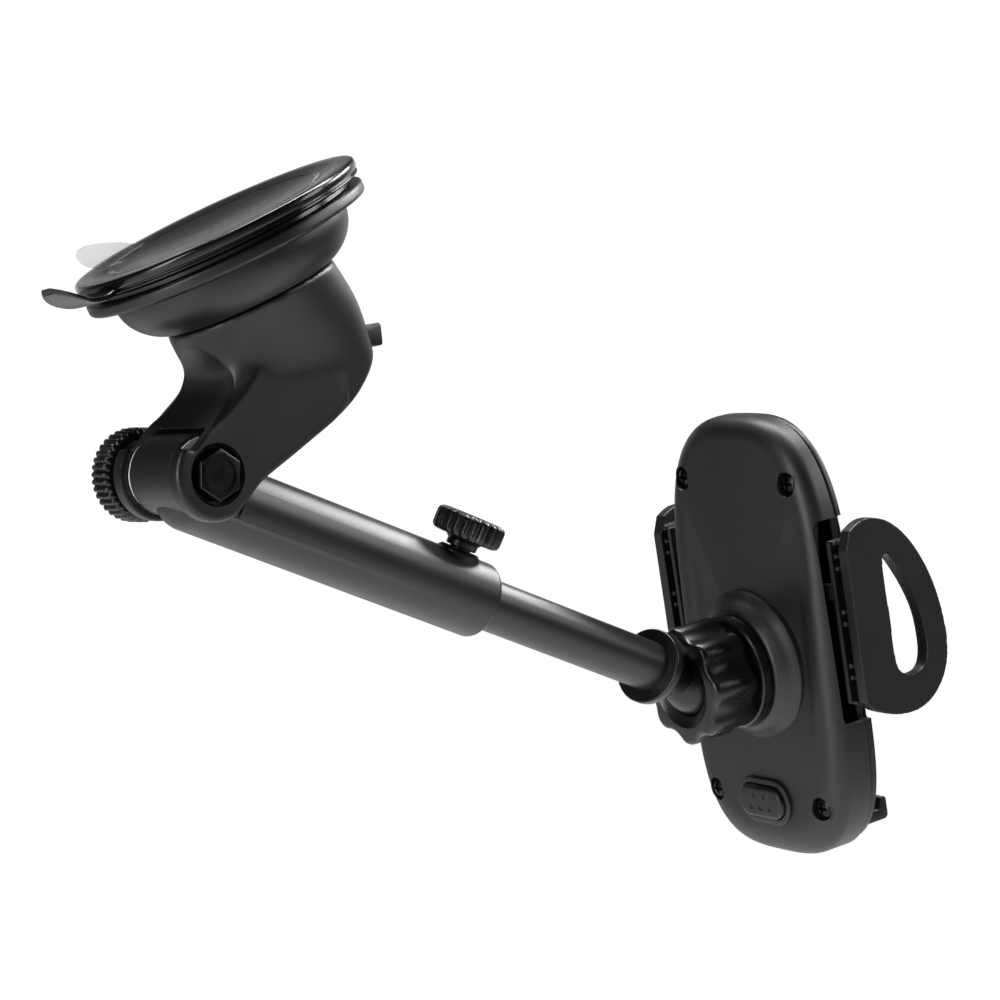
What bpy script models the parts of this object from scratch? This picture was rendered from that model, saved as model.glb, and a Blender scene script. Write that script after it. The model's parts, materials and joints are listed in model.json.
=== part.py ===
"""Car phone mount: sticky suction base, hinged telescopic arm, ball joint and clamping cradle.

World frame: metres, +Z up.  The origin is the centre of the suction face, which looks up and
towards -X.  The arm runs towards +X, and the arm hinge lies along Y.
"""
import math

import bmesh
import bpy
from mathutils import Matrix, Vector

for stale in list(bpy.data.objects):
    bpy.data.objects.remove(stale, do_unlink=True)

MM = 0.001
GAP = 0.3 * MM                # clearance between neighbouring pieces
TURN = 2 * math.pi

# ---- placement -----------------------------------------------------------------------------
CUP_TILT = math.radians(27.4)     # suction axis leans this far towards -X
CUP_CANT = math.radians(4.8)      # and this far towards +Y
HINGE = Vector((-7.8, -0.4, -55.3)) * MM
ARM_DROP = math.radians(18.1)     # the arm runs down towards the cradle
ARM_CLOCK = math.radians(14.0)    # clamp screw and stem bend, turned about the tube axis
TUBE_OFFSET = 2.7 * MM            # tube axis below the hinge axis
STEM_BEND = math.radians(10.3)
STEM_LENGTH = 20.2 * MM           # tube end to ball centre
CRADLE_PITCH = math.radians(12.1)
CRADLE_ROLL = math.radians(2.1)
CRADLE_YAW = math.radians(-4.8)

# ---- suction head ---------------------------------------------------------------------------
PAD_R = 33.4 * MM
PAD_DEPTH = 4.7 * MM
PAD_DISH = 1.9 * MM
PAD_LAND = 3.0 * MM               # flat ring at the rim of the suction face
TAB_LENGTH = 11.0 * MM
TAB_WIDTH = 13.0 * MM
TAB_LIFT = 5.4 * MM              # the free end of the tab curls up by this much
FLANGE_R = 33.0 * MM
FLANGE_T = 2.6 * MM
DOME_H = 10.4 * MM
NECK_R = 20.0 * MM
PLATE_R = 15.0 * MM
PLATE_T = 2.0 * MM
ROD_R = 3.0 * MM
LEVER_DROP = 31.0 * MM            # lever pin below the suction face
LEVER_W = 12.6 * MM
LEVER_REACH = 25.0 * MM
LEVER_T = 4.4 * MM
LEVER_DIP = math.radians(21.0)    # lever arm below the square to the rod
PLUNGER_TRAVEL = 2.0 * MM
PIN_R = 1.5 * MM

# ---- arm ------------------------------------------------------------------------------------
EAR_R = 10.2 * MM
EAR_OUTER = 13.3 * MM
SLOT_HALF = 9.4 * MM
BARREL_R = 8.9 * MM
WASHER_T = 0.6 * MM
BOLT_R = 3.0 * MM
HEX_FLATS = 10.0 * MM
HEX_T = 4.0 * MM
HEX_PROUD = 1.1 * MM
COUNTERBORE_R = 7.2 * MM
KNOB_R = 10.5 * MM
KNOB_T = 6.3 * MM
KNOB_COLLAR = 1.8 * MM
OUTER_R = 9.0 * MM
OUTER_LENGTH = 86.3 * MM          # hinge axis to the mouth
OUTER_WALL = 1.4 * MM
TUBE_FLOOR = 16.0 * MM            # where the bore of the outer tube begins
INNER_R = 6.13 * MM
INNER_WALL = 1.2 * MM
INNER_TAIL = 60.0 * MM            # hinge axis to the hidden end of the inner tube
INNER_END = 142.0 * MM            # hinge axis to the stem
BUSH_LENGTH = 14.3 * MM
STOP_T = 4.0 * MM
CLAMP_AT = 75.7 * MM
CLAMP_R = 8.35 * MM
CLAMP_T = 5.6 * MM
CLAMP_STANDOFF = 3.2 * MM
CLAMP_COLLAR_R = 3.7 * MM
CLAMP_SHANK_R = 2.5 * MM

# ---- ball joint -----------------------------------------------------------------------------
BALL_R = 8.0 * MM
STEM_R = 4.2 * MM
COLLAR_R = 9.3 * MM
COLLAR_T = 2.8 * MM
LINER_T = 0.5 * MM
SOCKET_R = 11.4 * MM
SOCKET_FLANGE_R = 14.3 * MM
SOCKET_FLANGE_T = 3.0 * MM
SOCKET_BACK = 10.4 * MM           # ball centre to the socket flange
STUB_LENGTH = 2.9 * MM            # socket stub inside the back cover
RETAINER_R = 6.0 * MM
RETAINER_T = 2.8 * MM
NUT_LOBES = 8
NUT_R = 14.1 * MM
NUT_LOBE = 0.95 * MM
NUT_FRONT = 4.8 * MM              # nut ahead of the ball centre
NUT_BACK = 8.0 * MM

# ---- cradle, X from the ball centre towards the phone -----------------------------------------
PHONE_BACK = 32.15 * MM
PAD_T = 0.7 * MM
FRONT_T = 2.0 * MM
COVER_X = 18.35 * MM              # outer face of the back cover at ball height
COVER_SLOPE = 0.0415
COVER_WALL = 2.0 * MM
COVER_EDGE = 5.0 * MM
HALF_W = 29.5 * MM
TOP_Z = 63.0 * MM
BOTTOM_Z = -49.5 * MM
TOP_SHOULDER = 20.0 * MM
BOTTOM_SHOULDER = -10.0 * MM
BOSS_TOP_R = 15.2 * MM
BOSS_BASE_R = 19.0 * MM
SCREW_Y = 20.7 * MM
SCREW_TOP_Z = 47.0 * MM
SCREW_BOTTOM_Z = -35.0 * MM
SCREW_HEAD_R = 2.75 * MM
SCREW_SINK = 1.0 * MM
BUTTON_Z = -35.2 * MM
BUTTON_W = 17.0 * MM
BUTTON_H = 8.5 * MM
BUTTON_PROUD = 2.2 * MM
BUTTON_TRAVEL = 1.1 * MM

# ---- jaws -------------------------------------------------------------------------------------
GRIP_HALF = 33.9 * MM             # middle to each gripping pad
GRIP_PAD_T = 1.1 * MM
JAW_T = 3.2 * MM
JAW_X = 22.3 * MM
JAW_CLOSE = 4.85 * MM
JAW_TOP = 36.0 * MM
JAW_BOTTOM = -11.0 * MM
CHANNEL_DEPTH = 5.9 * MM
CHANNEL_WALL = 1.4 * MM
RACK_X = 23.4 * MM
RACK_T = 2.5 * MM
RACK_BAR = 4.0 * MM
PINION_Z = 12.0 * MM
PINION_TEETH = 12
PINION_PITCH_R = 4.5 * MM
TOOTH_OUT = 0.7 * MM
TOOTH_IN = 1.0 * MM
TOOTH_W = 1.0 * MM
FOOT_TOP = -42.2 * MM
FOOT_T = 2.6 * MM
FOOT_REACH = 10.5 * MM
PRONG_IN = 7.0 * MM
PRONG_OUT = 16.0 * MM
PRONG_NECK = 3.0 * MM             # width of a prong where it passes the front cover
ROCKER_T = 0.9 * MM
ROCKER_X = 22.0 * MM
ROCKER_PIVOT_Z = -15.0 * MM

SEG = 28                      # facets round a small part
CUP_SEG = 40                  # facets round the suction head


# ---- small tools --------------------------------------------------------------------------------
def material(name, colour, roughness, metallic=0.0):
    mat = bpy.data.materials.new(name)
    mat.use_nodes = True
    shader = mat.node_tree.nodes["Principled BSDF"]
    shader.inputs["Base Color"].default_value = (*colour, 1.0)
    shader.inputs["Roughness"].default_value = roughness
    shader.inputs["Metallic"].default_value = metallic
    return mat


GEL = material("black_polyurethane_gel", (0.012, 0.012, 0.013), 0.15)
SATIN = material("satin_black_abs", (0.035, 0.035, 0.037), 0.45)
TUBE = material("dark_grey_tube", (0.055, 0.055, 0.058), 0.40)
GLOSS = material("gloss_black_nylon", (0.020, 0.020, 0.022), 0.30)
RUBBER = material("matt_black_rubber", (0.018, 0.018, 0.018), 0.80)
WHITE = material("white_acetal", (0.75, 0.75, 0.72), 0.40)
STEEL = material("zinc_plated_steel", (0.60, 0.60, 0.62), 0.30, 1.0)
BLACK_STEEL = material("black_oxide_steel", (0.03, 0.03, 0.03), 0.35, 1.0)


def place(name, bm, mat, parent=None, matrix=None, smooth=True):
    """Turn a bmesh into a named object with outward normals."""
    bmesh.ops.recalc_face_normals(bm, faces=bm.faces)
    mesh = bpy.data.meshes.new(name)
    bm.to_mesh(mesh)
    bm.free()
    mesh.materials.append(mat)
    for polygon in mesh.polygons:
        polygon.use_smooth = smooth
    obj = bpy.data.objects.new(name, mesh)
    bpy.context.scene.collection.objects.link(obj)
    obj.parent = parent
    if matrix is not None:
        obj.matrix_local = matrix
    return obj


def empty(name, matrix, parent=None):
    obj = bpy.data.objects.new(name, None)
    obj.empty_display_size = 0.01
    bpy.context.scene.collection.objects.link(obj)
    obj.parent = parent
    obj.matrix_local = matrix
    bpy.context.view_layer.update()
    return obj


def tool(target, bm, operation="DIFFERENCE", matrix=None):
    """Boolean the bmesh into the target, in the target's own frame unless a matrix is given."""
    number = len(target.modifiers) + 1
    helper = place(f"{target.name}_tool_{number}", bm, target.data.materials[0], target, matrix)
    helper.display_type = "WIRE"
    helper.hide_render = True
    modifier = target.modifiers.new(f"boolean_{number}", "BOOLEAN")
    modifier.operation = operation
    modifier.object = helper
    return helper


def lathe(profile, closed=True, steps=SEG, axis="Z"):
    """Spin (radius, height) points round Z, then turn the result so that Z lies along axis."""
    bm = bmesh.new()
    verts = [bm.verts.new((radius, 0.0, height)) for radius, height in profile]
    follow = verts[1:] + verts[:1] if closed else verts[1:]
    edges = [bm.edges.new(pair) for pair in zip(verts, follow)]
    bmesh.ops.spin(bm, geom=verts + edges, axis=(0, 0, 1), cent=(0, 0, 0), angle=TURN,
                   steps=steps, use_merge=True)
    bmesh.ops.remove_doubles(bm, verts=bm.verts, dist=1e-6)
    bmesh.ops.dissolve_degenerate(bm, edges=bm.edges, dist=1e-7)
    bmesh.ops.transform(bm, verts=bm.verts, matrix=AXIS_TURN[axis])
    return bm


AXIS_TURN = {
    "X": Matrix.Rotation(math.pi / 2, 4, "Y"),
    "Y": Matrix.Rotation(-math.pi / 2, 4, "X"),
    "Z": Matrix.Identity(4),
}


def rod(radius, low, high, axis="Z", steps=SEG):
    return lathe([(0.0, low), (radius, low), (radius, high), (0.0, high)], False, steps, axis)


def tube(outer, inner, low, high, axis="Z", steps=SEG):
    return lathe([(inner, low), (outer, low), (outer, high), (inner, high)], True, steps, axis)


def box(low, high):
    bm = bmesh.new()
    bmesh.ops.create_cube(bm, size=1.0)
    low = Vector(low)
    high = Vector(high)
    bmesh.ops.scale(bm, vec=high - low, verts=bm.verts)
    bmesh.ops.translate(bm, vec=(low + high) / 2, verts=bm.verts)
    return bm


def loft(rings):
    """Skin a list of rings, each a list of points in the same order, and cap both ends."""
    bm = bmesh.new()
    loops = []
    for ring in rings:
        verts = [bm.verts.new(point) for point in ring]
        loops.append([bm.edges.new(pair) for pair in zip(verts, verts[1:] + verts[:1])])
    for first, second in zip(loops, loops[1:]):
        bmesh.ops.bridge_loops(bm, edges=first + second)
    bmesh.ops.contextual_create(bm, geom=loops[0])
    bmesh.ops.contextual_create(bm, geom=loops[-1])
    return bm


def plate_x(outline, low, high):
    """A plate between two X planes with a (y, z) outline."""
    return loft([[Vector((x, y, z)) for y, z in outline] for x in (low, high)])


def plate_y(outline, low, high):
    """A plate between two Y planes with an (x, z) outline."""
    return loft([[Vector((x, y, z)) for x, z in outline] for y in (low, high)])


def oval(width, height, z=0.0, steps=28):
    """A slot-shaped (y, z) outline with round ends, wider than it is high."""
    radius = height / 2
    reach = width / 2 - radius
    points = []
    for i in range(steps):
        angle = TURN * (i + 0.5) / steps
        side = reach if math.cos(angle) > 0 else -reach
        points.append((side + radius * math.cos(angle), z + radius * math.sin(angle)))
    return points


def arc(centre, radius, start, stop, count):
    """Points on an arc in a plane, angles in degrees."""
    result = []
    for i in range(count + 1):
        angle = math.radians(start + (stop - start) * i / count)
        result.append((centre[0] + radius * math.cos(angle), centre[1] + radius * math.sin(angle)))
    return result


def sphere_arc(radius, start, stop, count):
    """(radius, height) points on a sphere, angles in degrees from the +height pole."""
    result = []
    for i in range(count + 1):
        angle = math.radians(start + (stop - start) * i / count)
        result.append((radius * math.sin(angle), radius * math.cos(angle)))
    return result


def coil(name, radius, wire, low, high, turns, mat, parent, axis="Z", matrix=None):
    """A compression spring as a tube swept along a helix."""
    per_turn = 12
    sides = 5
    count = int(turns * per_turn)
    low += wire
    high -= wire
    rings = []
    pitch_angle = math.atan2(high - low, turns * TURN * radius)
    for i in range(count + 1):
        angle = TURN * i / per_turn
        height = low + (high - low) * i / count
        out = Vector((math.cos(angle), math.sin(angle), 0.0))
        along = Vector((-math.sin(angle), math.cos(angle), 0.0))
        lift = Vector((0, 0, 1)) * math.cos(pitch_angle) - along * math.sin(pitch_angle)
        centre = out * radius + Vector((0, 0, height))
        ring = []
        for k in range(sides):
            turn = TURN * k / sides
            ring.append(centre + wire * (math.cos(turn) * out + math.sin(turn) * lift))
        rings.append(ring)
    bm = loft(rings)
    bmesh.ops.transform(bm, verts=bm.verts, matrix=AXIS_TURN[axis])
    return place(name, bm, mat, parent, matrix)


# ---- frames -------------------------------------------------------------------------------------
def turned(angle, axis):
    return Matrix.Rotation(angle, 4, axis)


cup_axis = empty("cup_axis", turned(-CUP_TILT, "Y") @ turned(-CUP_CANT, "X"))
hinge_axis = empty("hinge_axis", Matrix.Translation(HINGE))
arm_axis = empty("arm_axis", turned(ARM_DROP, "Y"), hinge_axis)
tube_axis = empty("tube_axis", Matrix.Translation((0, 0, -TUBE_OFFSET)) @ turned(ARM_CLOCK, "X"),
                  arm_axis)
stem_axis = empty("stem_axis", Matrix.Translation((INNER_END, 0, 0)) @ turned(STEM_BEND, "Z"),
                  tube_axis)
BALL = stem_axis.matrix_world @ Vector((STEM_LENGTH, 0, 0))
CRADLE_TURN = turned(CRADLE_YAW, "Z") @ turned(CRADLE_ROLL, "X") @ turned(-CRADLE_PITCH, "Y")
cradle_axis = empty("cradle_axis", Matrix.Translation(BALL) @ CRADLE_TURN)
pinion_axis = empty("pinion_axis", Matrix.Translation((0, 0, PINION_Z)), cradle_axis)


# ---- suction head -------------------------------------------------------------------------------
FLANGE_TOP = -(PAD_DEPTH + GAP)
FLANGE_LOW = FLANGE_TOP - FLANGE_T
DOME_LOW = FLANGE_LOW - DOME_H
PLATE_LOW = FLANGE_TOP - GAP - PLATE_T
POCKET_LOW = PLATE_LOW - PLUNGER_TRAVEL - GAP
SPRING_LOW = POCKET_LOW - 5.0 * MM
ROD_LOW = -LEVER_DROP - 4.0 * MM


def build_suction_pad():
    rim = PAD_R
    land = rim - 0.8 * MM - PAD_LAND
    dish = [(land * k / 4, -PAD_DISH * (1 - (k / 4) ** 2)) for k in range(5)]
    edge = [(rim - 0.8 * MM, 0.0), (rim - 0.2 * MM, -0.25 * MM), (rim, -0.8 * MM),
            (rim, -2.6 * MM), (rim - 0.5 * MM, -3.1 * MM), (rim - 2.6 * MM, -3.4 * MM),
            (rim - 3.0 * MM, -PAD_DEPTH), (0.0, -PAD_DEPTH)]
    pad = place("suction_pad", lathe(dish + edge, False, CUP_SEG), GEL, cup_axis)
    half = TAB_WIDTH / 2
    start = -(rim - 2.0 * MM)
    end = -(rim + TAB_LENGTH)
    thick = 1.7 * MM
    droop = 1.6 * MM
    rings = []
    for share, wide in ((0.0, 1.0), (0.35, 1.0), (0.7, 0.95), (0.92, 0.75), (1.0, 0.45)):
        x = start + (end - start) * share
        top = -0.9 * MM - droop * math.sin(math.pi * share) + TAB_LIFT * share ** 2
        ring = [(x, -half * wide, top - thick), (x, half * wide, top - thick),
                (x, half * wide, top), (x, -half * wide, top)]
        rings.append([Vector(point) for point in ring])
    tool(pad, loft(rings), "UNION")
    return pad


def build_skirt():
    outer = [(FLANGE_R - 0.3 * MM, FLANGE_TOP), (FLANGE_R, FLANGE_TOP - 0.4 * MM),
             (FLANGE_R, FLANGE_LOW + 0.7 * MM), (FLANGE_R - 0.8 * MM, FLANGE_LOW),
             (NECK_R + 8.4 * MM, FLANGE_LOW - 0.5 * MM)]
    bell = [(NECK_R + 7.6 * MM * math.cos(math.radians(a)) ** 1.4,
             FLANGE_LOW - 1.0 * MM - (DOME_H - 1.0 * MM) * math.sin(math.radians(a)))
            for a in (0, 18, 36, 54, 72, 90)]
    bore = ROD_R + 0.5 * MM
    pocket = PLATE_R + GAP + 0.3 * MM
    spring_r = 7.0 * MM
    inner = [(bore, DOME_LOW), (bore, SPRING_LOW), (spring_r, SPRING_LOW),
             (spring_r, POCKET_LOW), (pocket, POCKET_LOW), (pocket, FLANGE_TOP)]
    return place("suction_skirt", lathe(outer + bell + inner, True, CUP_SEG), SATIN, cup_axis)


def build_plunger():
    top = FLANGE_TOP
    profile = [(0.0, top), (PLATE_R, top), (PLATE_R, PLATE_LOW), (ROD_R, PLATE_LOW),
               (ROD_R, ROD_LOW), (0.0, ROD_LOW)]
    plunger = place("suction_plunger", lathe(profile, False), STEEL, cup_axis)
    half = PIN_R + GAP
    slot = plate_y([(half, -LEVER_DROP - half), (half, -LEVER_DROP + half + PLUNGER_TRAVEL),
                    (-half, -LEVER_DROP + half + PLUNGER_TRAVEL), (-half, -LEVER_DROP - half)],
                   -5 * MM, 5 * MM)
    tool(plunger, slot)
    return plunger


def lever_profile():
    """(x, z) outline round the pin: a cam disc and a straight arm, along the dipped direction."""
    half = LEVER_T / 2
    reach = LEVER_REACH
    points = arc((0, 0), 5.0 * MM, 35, 325, 16)
    points += [(8.0 * MM, -half), (reach - 1.0 * MM, -half), (reach, -half + 1.0 * MM),
               (reach, half + 0.8 * MM), (reach - 2.6 * MM, half + 0.8 * MM),
               (reach - 4.2 * MM, half), (8.0 * MM, half)]
    return points


def build_lever():
    half = LEVER_W / 2
    frame = Matrix.Translation((0, 0, -LEVER_DROP)) @ turned(LEVER_DIP, "Y")
    lever_axis = empty("lever_axis", frame, cup_axis)
    lever = place("lock_lever", plate_y(lever_profile(), -half, half), GLOSS, lever_axis)
    fork = ROD_R + GAP + 0.2 * MM
    tool(lever, box((-8 * MM, -fork, -8 * MM), (7.0 * MM, fork, 8 * MM)))
    tool(lever, rod(PIN_R + GAP, -half - MM, half + MM, "Y", 24))
    place("lever_pin", rod(PIN_R, -half + 0.2 * MM, half - 0.2 * MM, "Y", 24), STEEL, lever_axis)
    return lever


def superellipse(count, half_x, half_y, power):
    points = []
    for i in range(count):
        angle = TURN * i / count
        c = math.cos(angle)
        s = math.sin(angle)
        points.append((math.copysign(abs(c) ** (2 / power), c) * half_x,
                       math.copysign(abs(s) ** (2 / power), s) * half_y))
    return points


# front point, back point (x, z from the hinge), half width, squareness of each neck section
NECK_SECTIONS = (
    ((1.4, 26.4), (41.0, 40.4), 17.6, 2.2),
    ((4.4, 22.4), (44.2, 32.0), 14.6, 2.7),
    ((4.0, 18.6), (45.0, 26.0), 13.1, 3.4),
    ((0.8, 14.0), (41.0, 18.4), 13.0, 4.6),
    ((-2.6, 10.2), (34.0, 12.6), 13.0, 7.0),
)


# front edge, hidden top and rear edge of the flat side plates (x, z from the hinge)
EAR_EDGE = ((1.4, 12.6), (6.1, 17.4), (9.6, 21.8), (13.5, 25.5), (31.0, 25.5), (34.6, 16.4),
            (31.4, 12.0), (21.3, 5.0), (12.1, -1.2))


def neck_rings():
    seam = cup_axis.matrix_world
    top = DOME_LOW - GAP
    count = 36
    rings = [[seam @ Vector((x, y, top)) - HINGE for x, y in superellipse(count, NECK_R, NECK_R, 2)]]
    for front, back, half, power in NECK_SECTIONS:
        front = Vector((front[0], 0, front[1])) * MM
        back = Vector((back[0], 0, back[1])) * MM
        middle = (front + back) / 2
        along = (back - front).normalized()
        reach = (back - front).length / 2
        shape = superellipse(count, reach, half * MM, power)
        rings.append([middle + along * x + Vector((0, y, 0)) for x, y in shape])
    return rings


def build_neck():
    neck = place("base_neck", loft(neck_rings()), SATIN, hinge_axis)
    ears = arc((0, 0), EAR_R, 300, 104, 24)
    ears += [(x * MM, z * MM) for x, z in EAR_EDGE]
    tool(neck, plate_y(ears, -EAR_OUTER, EAR_OUTER), "UNION")
    ceiling = BARREL_R + 0.9 * MM
    slot = [(-30 * MM, -30 * MM), (-30 * MM, ceiling), (1.0 * MM, ceiling), (6 * MM, 8.6 * MM),
            (9 * MM, 8.2 * MM), (45 * MM, 15.8 * MM), (45 * MM, -30 * MM)]
    tool(neck, plate_y(slot, -SLOT_HALF, SLOT_HALF))
    tool(neck, rod(BOLT_R + GAP, -20 * MM, 20 * MM, "Y", 24))
    sink = HEX_T - HEX_PROUD + GAP
    tool(neck, rod(COUNTERBORE_R, -EAR_OUTER - MM, -EAR_OUTER + sink, "Y"))
    into_cup = Matrix.Translation(-HINGE) @ cup_axis.matrix_world
    tool(neck, rod(ROD_R + 0.5 * MM, -LEVER_DROP - 2 * MM, 0.0), "DIFFERENCE", into_cup)
    half = LEVER_W / 2 + 0.5 * MM
    low = -LEVER_DROP - 7.0 * MM
    well = [(-7 * MM, low), (8 * MM, low), (22 * MM, low - 6.5 * MM), (60 * MM, low - 9 * MM),
            (60 * MM, DOME_LOW - 3.0 * MM), (14 * MM, -LEVER_DROP + 9 * MM),
            (-7 * MM, -LEVER_DROP + 7 * MM)]
    tool(neck, plate_y(well, -half, half), "DIFFERENCE", into_cup)
    return neck


def build_suction_head():
    build_suction_pad()
    build_skirt()
    build_plunger()
    coil("plunger_spring", 5.2 * MM, 0.6 * MM, SPRING_LOW + GAP, PLATE_LOW - GAP, 3.5, STEEL,
         cup_axis)
    build_lever()
    build_neck()


# ---- hinge ----------------------------------------------------------------------------------------
def hexagon(flats):
    radius = flats / math.sqrt(3)
    return [(radius * math.sin(TURN * i / 6), radius * math.cos(TURN * i / 6)) for i in range(6)]


def build_hinge():
    head_front = -(EAR_OUTER + HEX_PROUD)
    bolt = place("hinge_bolt", plate_y(hexagon(HEX_FLATS), head_front, head_front + HEX_T),
                 BLACK_STEEL, hinge_axis, smooth=False)
    knob_face = EAR_OUTER + GAP + KNOB_COLLAR
    tip = knob_face + KNOB_T - 1.6 * MM
    tool(bolt, rod(BOLT_R, head_front + HEX_T - 0.5 * MM, tip, "Y", 24), "UNION")
    ridges = 38
    count = ridges * 2
    knurl = []
    for i in range(count):
        radius = KNOB_R - (0.0 if i % 2 else 0.5 * MM)
        angle = TURN * i / count
        knurl.append((radius * math.cos(angle), radius * math.sin(angle)))
    knob = place("hinge_thumb_nut", plate_y(knurl, knob_face, knob_face + KNOB_T), GLOSS,
                 hinge_axis, smooth=False)
    collar = rod(8.0 * MM, knob_face - KNOB_COLLAR, knob_face + 0.5 * MM, "Y")
    tool(knob, collar, "UNION")
    tool(knob, rod(BOLT_R + GAP, 0.0, tip + GAP, "Y", 24))
    barrel_half = SLOT_HALF - 2 * GAP - WASHER_T
    for side, word in ((-1, "near"), (1, "far")):
        ends = sorted((side * (barrel_half + GAP), side * (barrel_half + GAP + WASHER_T)))
        place(f"hinge_washer_{word}", tube(8.4 * MM, BOLT_R + GAP, *ends, "Y", 24), GLOSS, hinge_axis)
    return barrel_half


# ---- telescopic arm ---------------------------------------------------------------------------------
BORE_R = OUTER_R - OUTER_WALL


def build_outer_tube(barrel_half):
    outer = place("outer_tube", rod(BARREL_R, -barrel_half, barrel_half, "Y"), TUBE, arm_axis)
    lip = 1.3 * MM
    shift = 3.0 * MM
    nose = [(OUTER_R * math.sqrt(1 - (1 - k / 6) ** 2), (k / 6 - 1) * 8.0 * MM) for k in range(6)]
    nose += [(OUTER_R, 0.0), (OUTER_R, OUTER_LENGTH - shift - lip)]
    nose += [(OUTER_R - lip * (1 - math.cos(math.radians(a))),
              OUTER_LENGTH - shift - lip * (1 - math.sin(math.radians(a)))) for a in (30, 60, 90)]
    nose += [(0.0, OUTER_LENGTH - shift)]
    inside = Matrix.Translation((shift, 0, -TUBE_OFFSET))
    tool(outer, lathe(nose, False, SEG, "X"), "UNION", inside)
    for side in (-1, 1):
        flat = sorted((side * barrel_half, side * 2 * barrel_half))
        tool(outer, box((-30 * MM, flat[0], -30 * MM), (EAR_R + 1.0 * MM, flat[1], 30 * MM)))
    axis = Matrix.Translation((0, 0, -TUBE_OFFSET)) @ turned(ARM_CLOCK, "X")
    boss = lathe([(0.0, 5 * MM), (CLAMP_COLLAR_R + 1.4 * MM, 5 * MM),
                  (CLAMP_COLLAR_R + 1.2 * MM, OUTER_R + 0.2 * MM),
                  (CLAMP_COLLAR_R + 0.6 * MM, OUTER_R + 0.7 * MM), (0.0, OUTER_R + 0.7 * MM)], False)
    tool(outer, boss, "UNION", axis @ Matrix.Translation((CLAMP_AT, 0, 0)))
    tool(outer, rod(BORE_R, TUBE_FLOOR, OUTER_LENGTH + 9 * MM, "X"), "DIFFERENCE", axis)
    hole = rod(CLAMP_SHANK_R + GAP, 0.0, 20 * MM, "Z", 20)
    tool(outer, hole, "DIFFERENCE", axis @ Matrix.Translation((CLAMP_AT, 0, 0)))
    tool(outer, rod(BOLT_R + GAP, -20 * MM, 20 * MM, "Y", 24))
    return outer


def build_clamp_screw():
    seat = Matrix.Translation((CLAMP_AT, 0, 0))
    low = INNER_R + GAP
    base = OUTER_R + 0.7 * MM + GAP
    knob_low = OUTER_R + CLAMP_STANDOFF
    knob_high = knob_low + CLAMP_T
    edge = 1.0 * MM
    ridges = 22
    rings = []
    for height, inset in ((knob_low, edge), (knob_low + edge, 0.0), (knob_high - edge, 0.0),
                          (knob_high, edge)):
        ring = []
        for i in range(ridges * 2):
            ridge = 0.0 if i % 2 else 0.45 * MM
            radius = CLAMP_R - inset - ridge
            angle = TURN * i / (ridges * 2)
            ring.append(Vector((radius * math.cos(angle), radius * math.sin(angle), height)))
        rings.append(ring)
    screw = place("clamp_screw", loft(rings), GLOSS, tube_axis, seat, smooth=False)
    shank = lathe([(0.0, low), (CLAMP_SHANK_R, low), (CLAMP_SHANK_R, base), (CLAMP_COLLAR_R, base),
                   (CLAMP_COLLAR_R, knob_low + MM), (0.0, knob_low + MM)], False, 24)
    tool(screw, shank, "UNION")


def build_arm(barrel_half):
    build_outer_tube(barrel_half)
    build_clamp_screw()
    start = OUTER_LENGTH - 0.6 * MM - BUSH_LENGTH
    bush = place("guide_bush", tube(BORE_R - GAP, INNER_R + GAP, start, start + BUSH_LENGTH, "X"),
                 WHITE, tube_axis)
    tool(bush, rod(CLAMP_SHANK_R + GAP, 0.0, 20 * MM, "Z", 20), "DIFFERENCE",
         Matrix.Translation((CLAMP_AT, 0, 0)))
    bore = INNER_R - INNER_WALL
    inner = place("inner_tube", tube(INNER_R, bore, INNER_TAIL, INNER_END + 4 * MM, "X"), TUBE,
                  tube_axis)
    beyond = box((-GAP, -20 * MM, -20 * MM), (20 * MM, 20 * MM, 20 * MM))
    tool(inner, beyond, "DIFFERENCE", Matrix.Translation((INNER_END, 0, 0)) @ turned(STEM_BEND, "Z"))
    groove = tube(INNER_R + MM, INNER_R - 0.5 * MM, INNER_TAIL + MM, INNER_TAIL + MM + STOP_T, "X")
    tool(inner, groove)
    place("tube_stop_ring", tube(BORE_R - GAP, INNER_R - 0.5 * MM + GAP, INNER_TAIL + MM + GAP,
                                 INNER_TAIL + MM + STOP_T - GAP, "X"), WHITE, tube_axis)


# ---- ball joint ---------------------------------------------------------------------------------------
def build_ball_stem():
    start = math.degrees(math.asin(STEM_R / BALL_R))
    ball = [(r, STEM_LENGTH - h) for r, h in sphere_arc(BALL_R, start, 180, 10)]
    ball[-1] = (0.0, STEM_LENGTH + BALL_R)
    collar_back = COLLAR_T
    neck_start = STEM_LENGTH - 12.2 * MM
    profile = [(0.0, 0.0), (COLLAR_R - 0.3 * MM, 0.0), (COLLAR_R, 0.3 * MM),
               (COLLAR_R, collar_back - 0.8 * MM), (COLLAR_R - 0.8 * MM, collar_back),
               (STEM_R + 2.0 * MM, collar_back + 2.0 * MM), (STEM_R, neck_start)]
    stem = place("ball_stem", lathe(profile + ball, False), GLOSS, stem_axis)
    plug = rod(INNER_R - INNER_WALL - GAP, INNER_END - 14 * MM, INNER_END + 1.0 * MM, "X")
    turn_back = (Matrix.Translation((INNER_END, 0, 0)) @ turned(STEM_BEND, "Z")).inverted()
    for vertex in stem.data.vertices:
        vertex.co = AXIS_TURN["X"] @ vertex.co
    tool(stem, plug, "UNION", turn_back)
    return stem


def shell_cap(name, inner, outer, reach):
    """A spherical cap behind the ball, up to reach degrees from the cradle's X axis."""
    profile = sphere_arc(outer, 0, reach, 5) + sphere_arc(inner, reach, 0, 5)
    return place(name, lathe(profile, False, 20, "X"), WHITE, cradle_axis)


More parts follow.
